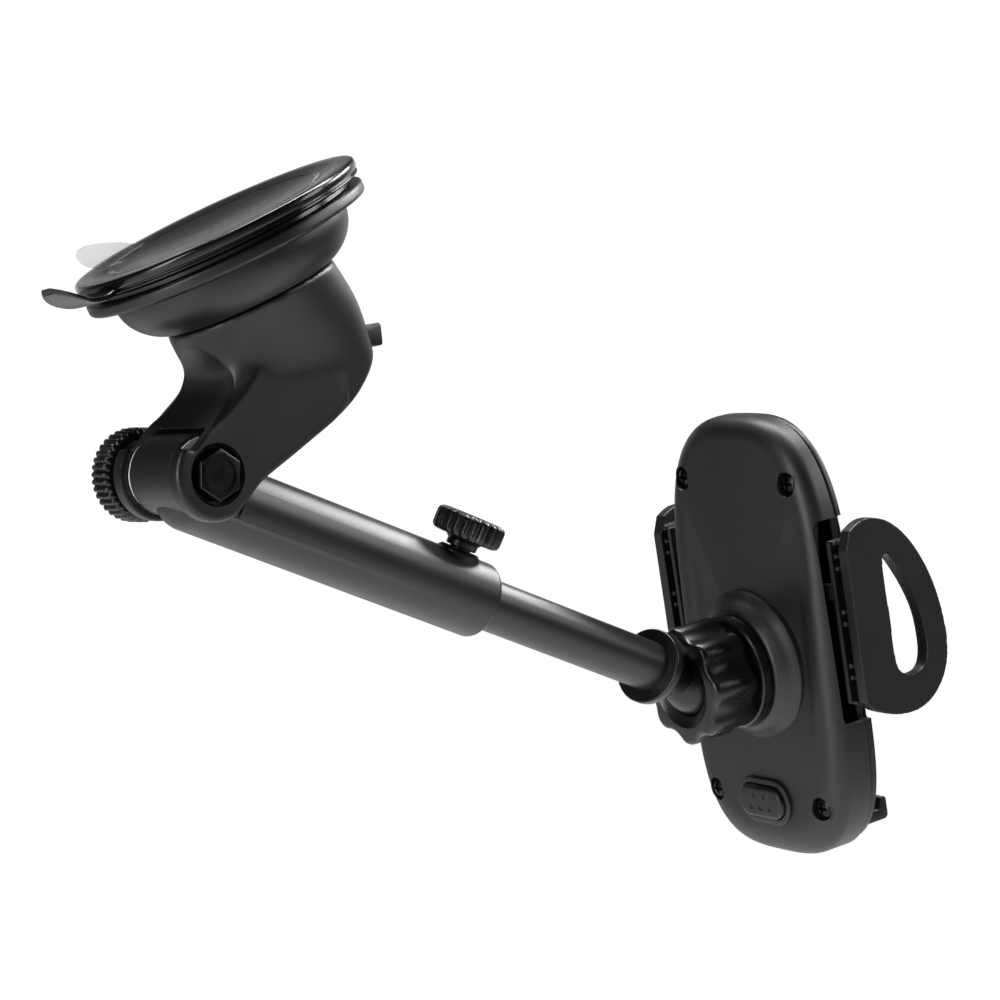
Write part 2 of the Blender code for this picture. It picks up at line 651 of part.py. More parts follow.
def build_ball_joint():
    build_ball_stem()
    liner = BALL_R + GAP
    cup = liner + LINER_T + GAP
    seat = cup + LINER_T + GAP
    shell_cap("ball_liner", liner, liner + LINER_T, 50)
    shell_cap("pressure_cup", cup, cup + LINER_T, 52)
    back = SOCKET_BACK + SOCKET_FLANGE_T
    front = -0.4 * MM
    stub = 4.2 * MM
    stub_end = back + STUB_LENGTH
    cavity = [(r, h) for r, h in sphere_arc(seat, 0, 90, 8)]
    profile = cavity + [(seat, front), (SOCKET_R - 0.4 * MM, front), (SOCKET_R, front + 0.5 * MM),
                        (SOCKET_R, SOCKET_BACK), (SOCKET_FLANGE_R - 0.5 * MM, SOCKET_BACK),
                        (SOCKET_FLANGE_R, SOCKET_BACK + 0.5 * MM), (SOCKET_FLANGE_R, back),
                        (stub, back), (stub, stub_end), (0.0, stub_end)]
    socket = place("ball_socket", lathe(profile, False, SEG, "X"), GLOSS, cradle_axis)
    slit = 0.6 * MM
    tool(socket, box((-2 * MM, -15 * MM, -slit), (6 * MM, 15 * MM, slit)))
    tool(socket, box((-2 * MM, -slit, -15 * MM), (6 * MM, slit, 15 * MM)))
    build_ball_nut()


def build_ball_nut():
    count = NUT_LOBES * 8
    rings = []
    edge = 1.0 * MM
    for x, inset in ((-NUT_FRONT, edge), (-NUT_FRONT + 0.35 * edge, 0.3 * edge),
                     (-NUT_FRONT + edge, 0.0), (NUT_BACK - 0.5 * edge, 0.0),
                     (NUT_BACK, 0.5 * edge)):
        ring = []
        for i in range(count):
            angle = TURN * i / count
            radius = NUT_R + NUT_LOBE * math.cos(NUT_LOBES * angle) - inset
            ring.append(Vector((x, radius * math.cos(angle), radius * math.sin(angle))))
        rings.append(ring)
    nut = place("ball_nut", loft(rings), GLOSS, cradle_axis)
    lip = math.sqrt(BALL_R ** 2 - (3.0 * MM) ** 2) + GAP + 0.05 * MM
    step = math.sqrt(BALL_R ** 2 - (2.2 * MM) ** 2) + GAP + 0.1 * MM
    bore = SOCKET_R + GAP
    profile = [(0.0, -NUT_FRONT - MM), (lip + 3.0 * MM, -NUT_FRONT - MM),
               (lip + 2.0 * MM, -NUT_FRONT), (lip, -3.4 * MM), (lip, -3.0 * MM), (step, -2.2 * MM),
               (bore, -1.0 * MM), (bore, NUT_BACK + MM), (0.0, NUT_BACK + MM)]
    tool(nut, lathe(profile, False, SEG, "X"))


# ---- cradle ---------------------------------------------------------------------------------------------
PAD_BACK = PHONE_BACK - 0.25 * MM - PAD_T
FRONT_FACE = PAD_BACK - GAP
FRONT_BACK = FRONT_FACE - FRONT_T
COVER_FRONT = FRONT_BACK - GAP


def cover_outline(inset=0.0, count=56):
    """Outline of the cradle body, (y, z): domed top, straight sides, rounded narrower foot."""
    points = []
    for i in range(count):
        angle = TURN * i / count
        c = math.cos(angle)
        s = math.sin(angle)
        if s >= 0:
            power = 2.8
            shrink = inset
            z = TOP_SHOULDER + (TOP_Z - shrink - TOP_SHOULDER) * s ** (2 / power)
        else:
            power = 3.2
            shrink = inset * (1 - 0.7 * s)
            z = BOTTOM_SHOULDER + (BOTTOM_Z + shrink - BOTTOM_SHOULDER) * (-s) ** (2 / power)
        y = math.copysign(abs(c) ** (2 / power), c) * (HALF_W - shrink)
        points.append((y, z))
    return points


def cover_face(z):
    """X of the outer face of the back cover at height z."""
    return COVER_X + COVER_SLOPE * z


def jaw_notch(low_x, high_x, side):
    inner = GRIP_HALF - 3.1 * MM - JAW_CLOSE
    y = sorted((side * inner, side * 40 * MM))
    return box((low_x, y[0], JAW_BOTTOM - 3.0 * MM), (high_x, y[1], JAW_TOP + 1.6 * MM))


def build_back_cover():
    rings = []
    for angle in (0, 30, 60, 90):
        depth = COVER_EDGE * (1 - math.cos(math.radians(angle)))
        inset = COVER_EDGE * (1 - math.sin(math.radians(angle)))
        rings.append([Vector((cover_face(z) + depth, y, z)) for y, z in cover_outline(inset)])
    rings.append([Vector((COVER_FRONT, y, z)) for y, z in cover_outline(0.4 * MM)])
    cover = place("back_cover", loft(rings), SATIN, cradle_axis)
    boss = lathe([(0.0, COVER_X + 1.5 * MM), (BOSS_BASE_R, COVER_X + 1.5 * MM),
                  (BOSS_BASE_R - 0.6 * MM, COVER_X - 0.6 * MM),
                  (BOSS_TOP_R, SOCKET_BACK + SOCKET_FLANGE_T + GAP),
                  (0.0, SOCKET_BACK + SOCKET_FLANGE_T + GAP)], False, SEG, "X")
    tool(cover, boss, "UNION")
    face = cover_face(BUTTON_Z)
    ring = plate_x(oval(BUTTON_W + 3.2 * MM, BUTTON_H + 3.2 * MM, BUTTON_Z), face - 1.0 * MM,
                   face + MM)
    tool(cover, ring, "UNION")
    wall = COVER_WALL
    inner = cover_outline(wall)
    cavity = [[Vector((cover_face(z) + wall, y, z)) for y, z in cover_outline(wall + 3 * MM)],
              [Vector((cover_face(z) + wall + 3 * MM, y, z)) for y, z in inner],
              [Vector((COVER_FRONT + MM, y, z)) for y, z in inner]]
    tool(cover, loft(cavity))
    for side in (-1, 1):
        tool(cover, jaw_notch(JAW_X - 0.6 * MM, COVER_FRONT + 5 * MM, side))
    shoulder = SOCKET_BACK + SOCKET_FLANGE_T + STUB_LENGTH
    tool(cover, rod(4.5 * MM, 0.0, 30 * MM, "X", 24))
    tool(cover, rod(RETAINER_R + GAP, shoulder, 30 * MM, "X", 24))
    hole = oval(BUTTON_W + 2 * GAP, BUTTON_H + 2 * GAP, BUTTON_Z)
    tool(cover, plate_x(hole, face - 5 * MM, face + 4 * MM))
    for y, z in screw_places():
        post = rod(3.3 * MM, cover_face(z) + 0.9 * MM, COVER_FRONT - 0.2 * MM, "X", 16)
        tool(cover, post, "UNION", Matrix.Translation((0, y, z)))
        top = cover_face(z) - 2 * MM
        seat = cover_face(z) + SCREW_SINK + 1.8 * MM + GAP
        hole = lathe([(0.0, top), (SCREW_HEAD_R + GAP, top), (SCREW_HEAD_R + GAP, seat),
                      (1.3 * MM, seat), (1.3 * MM, COVER_FRONT + MM), (0.0, COVER_FRONT + MM)],
                     False, 16, "X")
        tool(cover, hole, "DIFFERENCE", Matrix.Translation((0, y, z)))
    return cover


def screw_places():
    return [(side * SCREW_Y, z) for z in (SCREW_TOP_Z, SCREW_BOTTOM_Z) for side in (1, -1)]


def build_cover_screws():
    for number, (y, z) in enumerate(screw_places(), start=1):
        head = cover_face(z) + SCREW_SINK
        profile = [(0.0, head), (SCREW_HEAD_R - 0.9 * MM, head), (SCREW_HEAD_R, head + 0.8 * MM),
                   (SCREW_HEAD_R, head + 1.8 * MM), (1.0 * MM, head + 1.8 * MM),
                   (1.0 * MM, FRONT_BACK + 1.2 * MM), (0.0, FRONT_BACK + 1.2 * MM)]
        screw = place(f"cover_screw_{number}", lathe(profile, False, 16, "X"), BLACK_STEEL,
                      cradle_axis, Matrix.Translation((0, y, z)))
        wide = 1.5 * MM
        thin = 0.35 * MM
        for low, high in (((-wide, -thin), (wide, thin)), ((-thin, -wide), (thin, wide))):
            tool(screw, box((head - MM, *low), (head + 1.0 * MM, *high)))


def foot_slot(side):
    """Cutter for the slot that one prong of the foot passes through."""
    y = sorted((side * (PRONG_IN - GAP), side * (PRONG_IN + PRONG_NECK + GAP)))
    return box((FRONT_BACK - MM, y[0], FOOT_TOP - FOOT_T - GAP),
               (PHONE_BACK + MM, y[1], FOOT_TOP + GAP))


def build_front_cover():
    front = place("front_cover", plate_x(cover_outline(0.4 * MM), FRONT_BACK, FRONT_FACE), SATIN,
                  cradle_axis)
    for side in (-1, 1):
        tool(front, jaw_notch(FRONT_BACK - MM, FRONT_FACE + MM, side))
        tool(front, foot_slot(side))
    for y, z in screw_places():
        tool(front, rod(1.3 * MM, FRONT_BACK - MM, FRONT_FACE - 0.6 * MM, "X", 24), "DIFFERENCE",
             Matrix.Translation((0, y, z)))
    post = rod(1.5 * MM, RACK_X - 0.8 * MM, FRONT_BACK + 0.5 * MM, "X", 24)
    tool(front, post, "UNION", Matrix.Translation((0, 0, PINION_Z)))
    for side in (-1, 1):
        y = sorted((side * 4.0 * MM, side * 6.5 * MM))
        lug = box((ROCKER_X - 1.4 * MM, y[0], ROCKER_PIVOT_Z - 2.4 * MM),
                  (FRONT_BACK + 0.5 * MM, y[1], ROCKER_PIVOT_Z + 2.4 * MM))
        tool(front, lug, "UNION")
    tool(front, rod(1.0 * MM + GAP, -8 * MM, 8 * MM, "Y", 24), "DIFFERENCE",
         Matrix.Translation((ROCKER_X + ROCKER_T / 2 + 0.6 * MM, 0, ROCKER_PIVOT_Z)))
    return front


def build_front_pad():
    pad = place("front_pad", plate_x(cover_outline(3.2 * MM), PAD_BACK, PAD_BACK + PAD_T), RUBBER,
                cradle_axis)
    for side in (-1, 1):
        tool(pad, jaw_notch(PAD_BACK - MM, PAD_BACK + 2 * MM, side))
    tool(pad, box((PAD_BACK - MM, -40 * MM, BOTTOM_Z - MM),
                  (PAD_BACK + 2 * MM, 40 * MM, FOOT_TOP + 3.0 * MM)))


def build_button():
    face = cover_face(BUTTON_Z)
    top = face - BUTTON_PROUD
    rounding = 0.7 * MM
    rings = []
    for x, inset in ((top, 2 * rounding), (top + 0.3 * rounding, 0.8 * rounding),
                     (top + rounding, 0.0), (face + COVER_WALL + 2 * GAP, 0.0)):
        shape = oval(BUTTON_W - inset, BUTTON_H - inset, BUTTON_Z)
        rings.append([Vector((x, y, z)) for y, z in shape])
    button = place("release_button", loft(rings), SATIN, cradle_axis)
    flange = face + COVER_WALL + 2 * GAP
    tool(button, plate_x(oval(BUTTON_W + 2.4 * MM, BUTTON_H + 2.4 * MM, BUTTON_Z),
                         flange - 0.1 * MM, flange + 0.8 * MM), "UNION")
    tool(button, rod(2.0 * MM, flange, ROCKER_X - GAP, "X", 24), "UNION",
         Matrix.Translation((0, 0, BUTTON_Z)))
    dots = [(1.8, 1.6), (-1.8, 1.6), (3.4, -1.6), (0.0, -1.6), (-3.4, -1.6)]
    for y, z in dots:
        tool(button, rod(0.35 * MM, top - MM, top + 0.5 * MM, "X", 6), "DIFFERENCE",
             Matrix.Translation((0, y * MM, BUTTON_Z + z * MM)))


def build_latch():
    pivot_x = ROCKER_X + ROCKER_T / 2 + 0.6 * MM
    rocker_axis = empty("rocker_axis", Matrix.Translation((pivot_x, 0, ROCKER_PIVOT_Z)), cradle_axis)
    low = BUTTON_Z - 3.5 * MM - ROCKER_PIVOT_Z
    high = PINION_Z - PINION_PITCH_R - 3.4 * MM - ROCKER_PIVOT_Z
    rear = ROCKER_X - pivot_x
    rocker = place("latch_rocker", box((rear, -3.5 * MM, low), (rear + ROCKER_T, 3.5 * MM, high)),
                   STEEL, rocker_axis, smooth=False)
    tool(rocker, rod(2.2 * MM, -3.4 * MM, 3.4 * MM, "Y", 24), "UNION")
    hook = RACK_X - GAP - pivot_x
    tool(rocker, box((rear + 0.1 * MM, -3.0 * MM, high - 1.2 * MM), (hook, 3.0 * MM, high)), "UNION")
    tool(rocker, rod(1.0 * MM + GAP, -8 * MM, 8 * MM, "Y", 24))
    place("rocker_pin", rod(1.0 * MM, -6.3 * MM, 6.3 * MM, "Y", 24), STEEL, rocker_axis)
    coil("rocker_spring", 2.6 * MM, 0.35 * MM, ROCKER_X + ROCKER_T + GAP, FRONT_BACK - GAP, 4,
         STEEL, cradle_axis, "X", Matrix.Translation((0, 0, BUTTON_Z)))


def jaw_outline(inset=0.0):
    """(x, z) of the D-shaped jaw plate, straight on the cradle side."""
    back = JAW_X + inset
    points = [(back, -7.0 * MM), (back, 31.0 * MM)]
    corner = ((24.0, 35.4), (27.6, 37.1), (31.6, 37.2), (36.6, 35.2), (41.4, 30.8), (45.2, 25.0),
              (48.0, 18.4), (49.8, 11.2), (50.5, 3.6), (49.6, -2.8), (47.2, -7.4), (43.4, -10.9),
              (38.6, -12.7), (33.0, -12.6), (28.0, -11.2), (24.2, -9.4))
    middle = Vector((34.0, 12.0)) * MM
    for x, z in corner:
        point = Vector((x, z)) * MM
        point -= (point - middle).normalized() * inset
        points.append((point.x, point.y))
    return points


def jaw_window(grow=0.0):
    """(x, z) of the D-shaped opening in the jaw plate."""
    outline = ((33.2, 0.4), (33.0, 25.0), (33.8, 27.4), (35.6, 26.6), (38.4, 22.2), (41.0, 16.6),
               (42.8, 10.4), (43.7, 3.8), (43.4, 0.0), (42.0, -2.4), (39.0, -3.6), (35.6, -3.0))
    middle = Vector((38.0, 9.0)) * MM
    points = []
    for x, z in outline:
        point = Vector((x, z)) * MM
        point += (point - middle).normalized() * grow
        points.append((point.x, point.y))
    return points


def rack_teeth(y_low, y_high, pitch_line, inward):
    """Trapezoid teeth on a bar: inward is -1 for teeth that point down, +1 for up."""
    pitch = TURN * PINION_PITCH_R / PINION_TEETH
    root = pitch_line - inward * TOOTH_IN
    tip = pitch_line + inward * TOOTH_OUT
    foot = TOOTH_W / 2 + 0.30 * MM
    crown = TOOTH_W / 2 - 0.22 * MM
    outline = []
    number = math.ceil(y_low / pitch - 0.5)
    while (number + 0.5) * pitch + foot < y_high:
        centre = (number + 0.5) * pitch
        outline += [(centre - foot, root), (centre - crown, tip), (centre + crown, tip),
                    (centre + foot, root)]
        number += 1
    return outline, root


def build_jaw(side, name):
    """One jaw: side is +1 for the +Y jaw, -1 for the -Y jaw."""
    pad_in = GRIP_HALF
    plate_in = pad_in + GRIP_PAD_T + GAP
    plate_out = plate_in + JAW_T
    ends = sorted((side * plate_in, side * plate_out))
    jaw = place(name, plate_y(jaw_outline(), *ends), SATIN, cradle_axis)
    tool(jaw, plate_y(jaw_window(), side * plate_in - 10 * MM, side * plate_out + 10 * MM))
    wall_in = pad_in - 2.9 * MM
    depth = CHANNEL_DEPTH
    block = [(JAW_X, wall_in), (JAW_X, wall_in + CHANNEL_WALL),
             (JAW_X + depth - CHANNEL_WALL, wall_in + CHANNEL_WALL),
             (JAW_X + depth - CHANNEL_WALL, plate_in + 0.5 * MM), (JAW_X + depth, plate_in + 0.5 * MM),
             (JAW_X + depth, wall_in)]
    rings = [[Vector((x, side * y, z)) for x, y in block] for z in (JAW_BOTTOM + 3 * MM, JAW_TOP - 3 * MM)]
    tool(jaw, loft(rings), "UNION")
    rib_y = sorted((side * (wall_in + 0.5 * MM), side * (plate_in + 0.5 * MM)))
    for z in (-8.0, -1.5, 1.5, 12.0, 15.0, 26.0, 29.0, 32.4):
        rib = box((JAW_X + 1.2 * MM, rib_y[0], z * MM - 0.5 * MM),
                  (JAW_X + depth - 0.5 * MM, rib_y[1], z * MM + 0.5 * MM))
        tool(jaw, rib, "UNION")
    upward = 1 if side < 0 else -1
    line = PINION_Z + upward * PINION_PITCH_R
    inner_end = -17.0 * MM
    teeth, root = rack_teeth(inner_end + 0.5 * MM, 8.0 * MM, line, -upward)
    bar_back = root + upward * RACK_BAR
    outline = [(inner_end, bar_back), (inner_end, root)] + teeth
    outline += [(wall_in + 0.5 * MM, root), (wall_in + 0.5 * MM, bar_back)]
    bar = plate_x([(side * y, z) for y, z in outline], RACK_X, RACK_X + RACK_T)
    tool(jaw, bar, "UNION")
    word = name.split("_")[0]
    pads = sorted((side * pad_in, side * (pad_in + GRIP_PAD_T)))
    pad = place(f"{word}_jaw_pad", plate_y(pad_outline(), *pads), RUBBER, cradle_axis)
    tool(pad, plate_y(jaw_window(1.0 * MM), side * pad_in - 10 * MM, side * pad_in + 10 * MM))


def pad_outline():
    """The rubber pad follows the jaw plate forward of the cradle body."""
    front = PHONE_BACK - 3.2 * MM
    return [(max(x, front), z) for x, z in jaw_outline(1.2 * MM)
            if x > front or abs(z - 12 * MM) > 18 * MM]


def build_pinion():
    outline = []
    foot = TOOTH_W / 2 + 0.22 * MM
    crown = TOOTH_W / 2 - 0.26 * MM
    low = PINION_PITCH_R - TOOTH_IN
    high = PINION_PITCH_R + TOOTH_OUT
    for i in range(PINION_TEETH):
        angle = TURN * i / PINION_TEETH
        out = Vector((math.cos(angle), math.sin(angle)))
        across = Vector((-math.sin(angle), math.cos(angle)))
        for along, offset in ((low, -foot), (high, -crown), (high, crown), (low, foot)):
            point = out * along + across * offset
            outline.append((point.x, point.y))
    pinion = place("jaw_pinion", plate_x(outline, RACK_X, RACK_X + RACK_T), WHITE, pinion_axis,
                   smooth=False)
    tool(pinion, rod(1.5 * MM + GAP, RACK_X - MM, RACK_X + RACK_T + MM, "X", 24))
    build_spiral()


def build_spiral():
    """Flat spiral spring round the pinion post."""
    thick = 0.25 * MM
    low = RACK_X + RACK_T + GAP
    high = FRONT_BACK - GAP
    inner = []
    outer = []
    turns = 3.25
    count = 39
    for i in range(count + 1):
        angle = TURN * turns * i / count
        radius = 2.2 * MM + 3.6 * MM * i / count
        inner.append((radius * math.cos(angle), radius * math.sin(angle)))
        outer.append(((radius + thick) * math.cos(angle), (radius + thick) * math.sin(angle)))
    rings = [[Vector((low, *a)), Vector((high, *a)), Vector((high, *b)), Vector((low, *b))]
             for a, b in zip(inner, outer)]
    place("pinion_spring", loft(rings), STEEL, pinion_axis, smooth=False)


def build_foot():
    bridge_t = 1.8 * MM
    back = FRONT_BACK - GAP - bridge_t
    low = FOOT_TOP - FOOT_T
    tip = PHONE_BACK + FOOT_REACH
    neck_out = PRONG_IN + PRONG_NECK
    foot = place("support_foot", box((back, -neck_out, low), (back + bridge_t, neck_out, low + 6 * MM)),
                 SATIN, cradle_axis, smooth=False)
    shelf_x = FRONT_FACE + GAP
    outline = [(shelf_x, low), (tip - 1.2 * MM, low), (tip, low + 1.2 * MM),
               (tip, FOOT_TOP + 2.4 * MM), (tip - 0.8 * MM, FOOT_TOP + 3.2 * MM),
               (tip - 1.8 * MM, FOOT_TOP + 3.0 * MM), (tip - 2.6 * MM, FOOT_TOP),
               (shelf_x, FOOT_TOP)]
    for side, word in ((1, "left"), (-1, "right")):
        tool(foot, plate_y(outline, *sorted((side * PRONG_IN, side * PRONG_OUT))), "UNION")
        neck = sorted((side * PRONG_IN, side * neck_out))
        tool(foot, box((back + 0.2 * MM, neck[0], low), (shelf_x + MM, neck[1], FOOT_TOP)), "UNION")
        pad = sorted((side * (PRONG_IN + 1.5 * MM), side * (PRONG_OUT - 1.5 * MM)))
        place(f"foot_pad_{word}", box((PHONE_BACK, pad[0], FOOT_TOP + GAP),
                                      (tip - 3.6 * MM, pad[1], FOOT_TOP + GAP + 0.8 * MM)),
              RUBBER, cradle_axis, smooth=False)


def build_socket_screw():
    """Screw that holds the socket stub from inside the back cover."""
    end = SOCKET_BACK + SOCKET_FLANGE_T + STUB_LENGTH + GAP
    profile = [(0.0, end), (RETAINER_R, end), (RETAINER_R, end + RETAINER_T - 0.6 * MM),
               (RETAINER_R - 0.6 * MM, end + RETAINER_T), (0.0, end + RETAINER_T)]
    place("socket_retainer", lathe(profile, False, 20, "X"), STEEL, cradle_axis)


def build_cradle():
    build_back_cover()
    build_cover_screws()
    build_front_cover()
    build_front_pad()
    build_button()
    build_latch()
    build_jaw(1, "left_jaw")
    build_jaw(-1, "right_jaw")
    build_pinion()
    build_foot()
    build_socket_screw()


build_suction_head()
build_arm(build_hinge())
build_ball_joint()
build_cradle()
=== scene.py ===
"""Looks of a car phone mount: suction base, hinged telescopic arm, ball joint and clamping cradle.

Each piece is modelled in millimetres in the frame of the part it belongs to, then put in place.
"""
import json
import math

import bmesh
import bpy
from mathutils import Matrix, Vector


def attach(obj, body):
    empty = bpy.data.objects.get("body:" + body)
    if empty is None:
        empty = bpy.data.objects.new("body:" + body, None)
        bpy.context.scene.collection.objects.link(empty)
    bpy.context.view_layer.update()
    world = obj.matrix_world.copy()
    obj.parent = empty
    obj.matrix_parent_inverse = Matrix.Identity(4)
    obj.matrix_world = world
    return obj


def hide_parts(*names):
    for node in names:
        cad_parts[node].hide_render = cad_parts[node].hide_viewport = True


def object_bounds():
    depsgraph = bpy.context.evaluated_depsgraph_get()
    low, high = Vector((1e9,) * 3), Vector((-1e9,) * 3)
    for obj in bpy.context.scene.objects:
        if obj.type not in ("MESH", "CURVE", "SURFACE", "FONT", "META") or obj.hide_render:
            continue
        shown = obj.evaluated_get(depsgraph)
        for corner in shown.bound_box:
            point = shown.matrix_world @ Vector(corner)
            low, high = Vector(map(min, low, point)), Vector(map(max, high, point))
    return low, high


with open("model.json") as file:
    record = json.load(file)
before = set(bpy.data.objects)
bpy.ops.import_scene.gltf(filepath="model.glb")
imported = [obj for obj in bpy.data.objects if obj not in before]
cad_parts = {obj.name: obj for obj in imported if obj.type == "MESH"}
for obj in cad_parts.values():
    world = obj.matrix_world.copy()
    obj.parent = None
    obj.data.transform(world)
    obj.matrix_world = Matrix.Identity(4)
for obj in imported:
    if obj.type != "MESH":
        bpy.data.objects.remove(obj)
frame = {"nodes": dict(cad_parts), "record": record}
CAD_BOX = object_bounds()
JOINTS = {joint["name"]: joint for joint in frame["record"]["behaviour"]["joints"]}
MM = 0.001
TURN = 2 * math.pi
UP = Vector((0, 0, 1))


# ---- places of the parts, from the joints -------------------------------------------------------
def local_frame(origin, x, z):
    """Millimetres in a part's own frame to metres in the row frame."""
    turn = Matrix((x, z.cross(x), z)).transposed().to_4x4()
    return Matrix.Translation(origin) @ turn @ Matrix.Scale(MM, 4)


def joint_axis(name):
    return Vector(JOINTS[name]["axis"]).normalized()


def joint_place(name):
    return Vector(JOINTS[name]["pos_m"])


CLAMP_AT = 75.7
INNER_END = 142.0
cup_z = joint_axis("plunger_slide")
cup_x = cup_z.cross(joint_axis("lever_swing"))
CUP = local_frame(Vector((0, 0, 0)), cup_x, cup_z)
HINGE = local_frame(joint_place("arm_hinge"), Vector((1, 0, 0)), UP)
arm_x = joint_axis("telescope_slide")
ARM = local_frame(joint_place("arm_hinge"), arm_x, arm_x.cross(Vector((0, 1, 0))))
tube_z = joint_axis("clamp_screw_spin")
tube_start = joint_place("clamp_screw_spin") - (CLAMP_AT * arm_x + 15.0 * tube_z) * MM
TUBE = local_frame(tube_start, arm_x, tube_z)
BALL_AT = joint_place("ball_roll")
stem_start = tube_start + INNER_END * MM * arm_x
STEM_LENGTH = (BALL_AT - stem_start).length / MM
STEM = local_frame(stem_start, (BALL_AT - stem_start).normalized(), tube_z)
CRADLE = local_frame(BALL_AT, joint_axis("ball_roll"), joint_axis("ball_yaw"))


# ---- mesh tools ---------------------------------------------------------------------------------
AXIS_TURN = {
    "X": Matrix.Rotation(math.pi / 2, 4, "Y"),
    "Y": Matrix.Rotation(-math.pi / 2, 4, "X"),
    "Z": Matrix.Identity(4),
}


def lathe(profile, axis="Z", steps=128, loop=False):
    """Spin (radius, height) points into a closed turned shape."""
    bm = bmesh.new()
    verts = [bm.verts.new((radius, 0.0, height)) for radius, height in profile]
    follow = verts[1:] + verts[:1] if loop else verts[1:]
    edges = [bm.edges.new(pair) for pair in zip(verts, follow)]
    bmesh.ops.spin(bm, geom=verts + edges, axis=(0, 0, 1), cent=(0, 0, 0), angle=TURN,
                   steps=steps, use_merge=True)
    bmesh.ops.remove_doubles(bm, verts=bm.verts, dist=0.0005)
    bmesh.ops.dissolve_degenerate(bm, edges=bm.edges, dist=0.0002)
    placed(bm, AXIS_TURN[axis])
    bmesh.ops.recalc_face_normals(bm, faces=bm.faces)
    return bm


def rod(radius, low, high, axis="Z", steps=64):
    return lathe([(0.0, low), (radius, low), (radius, high), (0.0, high)], axis, steps)


def pipe(outer, inner, low, high, axis="Z", steps=64):
    return lathe([(inner, low), (outer, low), (outer, high), (inner, high)], axis, steps, True)


def block(low, high):
    bm = bmesh.new()
    bmesh.ops.create_cube(bm, size=1.0)
    low = Vector(low)
    high = Vector(high)
    bmesh.ops.scale(bm, vec=high - low, verts=bm.verts)
    bmesh.ops.translate(bm, vec=(low + high) / 2, verts=bm.verts)
    return bm


def plate(outline, low, high, axis):
    """Extrude an outline: (y, z) points for axis X, (x, z) points for axis Y."""
    bm = bmesh.new()
    if axis == "X":
        verts = [bm.verts.new((low, a, b)) for a, b in outline]
        push = Vector((high - low, 0, 0))
    else:
        verts = [bm.verts.new((a, low, b)) for a, b in outline]
        push = Vector((0, high - low, 0))
    face = bm.faces.new(verts)
    grown = bmesh.ops.extrude_face_region(bm, geom=[face], use_keep_orig=True)
    top = [item for item in grown["geom"] if isinstance(item, bmesh.types.BMVert)]
    bmesh.ops.translate(bm, vec=push, verts=top)
    bmesh.ops.recalc_face_normals(bm, faces=bm.faces)
    return bm


def loft(rings):
    """Bridge rings of points in the same order and fill both ends."""
    bm = bmesh.new()
    loops = []
    for ring in rings:
        verts = [bm.verts.new(point) for point in ring]
        loops.append([bm.edges.new(pair) for pair in zip(verts, verts[1:] + verts[:1])])
    for first, second in zip(loops, loops[1:]):
        bmesh.ops.bridge_loops(bm, edges=first + second)
    bmesh.ops.contextual_create(bm, geom=loops[0])
    bmesh.ops.contextual_create(bm, geom=loops[-1])
    bmesh.ops.recalc_face_normals(bm, faces=bm.faces)
    return bm


def round_edges(bm, width, segments=3, angle=30.0):
    sharp = [edge for edge in bm.edges
             if len(edge.link_faces) == 2 and edge.calc_face_angle(0.0) > math.radians(angle)]
    bmesh.ops.bevel(bm, geom=sharp, offset=width, offset_type="OFFSET", affect="EDGES",
                    segments=segments, profile=0.5, material=-1, clamp_overlap=True)
    return bm


def bench(bm):
    """A passing object that carries a mesh through a modifier."""
    mesh = bpy.data.meshes.new("bench")
    bm.to_mesh(mesh)
    bm.free()
    obj = bpy.data.objects.new("bench", mesh)
    bpy.context.scene.collection.objects.link(obj)
    return obj


def taken_off(obj, *others):
    """The mesh as its modifiers leave it; the passing objects go."""
    bpy.context.view_layer.update()
    bm = bmesh.new()
    bm.from_object(obj, bpy.context.evaluated_depsgraph_get())
    for passing in (obj, *others):
        mesh = passing.data
        bpy.data.objects.remove(passing, do_unlink=True)
        bpy.data.meshes.remove(mesh)
    return bm


def join(bm, *tools, operation="UNION"):
    """Add the tools to a shape, or cut them out of it."""
    for tool in tools:
        base = bench(bm)
        other = bench(tool)
        modifier = base.modifiers.new("join", "BOOLEAN")
        modifier.operation = operation
        modifier.object = other
        bm = taken_off(base, other)
    return bm


def cut(bm, *tools):
    return join(bm, *tools, operation="DIFFERENCE")


def melt(bm, voxel, rounds):
    """Fuse a shape to one even skin, so that its corners get the soft radius of a moulding."""
    obj = bench(bm)
    skin = obj.modifiers.new("skin", "REMESH")
    skin.mode = "VOXEL"
    skin.voxel_size = voxel
    relax = obj.modifiers.new("relax", "SMOOTH")
    relax.factor = 0.5
    relax.iterations = rounds
    return taken_off(obj)


def moved(bm, x=0.0, y=0.0, z=0.0):
    bmesh.ops.translate(bm, vec=(x, y, z), verts=bm.verts)
    return bm


def placed(bm, matrix):
    bmesh.ops.transform(bm, verts=bm.verts, matrix=matrix)
    return bm


def arc(cx, cy, radius, start, stop, count=8):
    """Points on an arc, angles in degrees."""
    result = []
    for i in range(count + 1):
        angle = math.radians(start + (stop - start) * i / count)
        result.append((cx + radius * math.cos(angle), cy + radius * math.sin(angle)))
    return result


def flow(points, per=4, closed=True):
    """A smooth curve through points, as a Catmull-Rom spline."""
    count = len(points)
    result = []
    for i in range(count if closed else count - 1):
        if closed:
            a, b, c, d = (Vector(points[(i + k) % count]) for k in (-1, 0, 1, 2))
        else:
            a, b, c, d = (Vector(points[min(max(i + k, 0), count - 1)]) for k in (-1, 0, 1, 2))
        for k in range(per):
            t = k / per
            result.append(0.5 * (2 * b + (c - a) * t + (2 * a - 5 * b + 4 * c - d) * t ** 2
                                 + (3 * b - a - 3 * c + d) * t ** 3))
    if not closed:
        result.append(Vector(points[-1]))
    return result


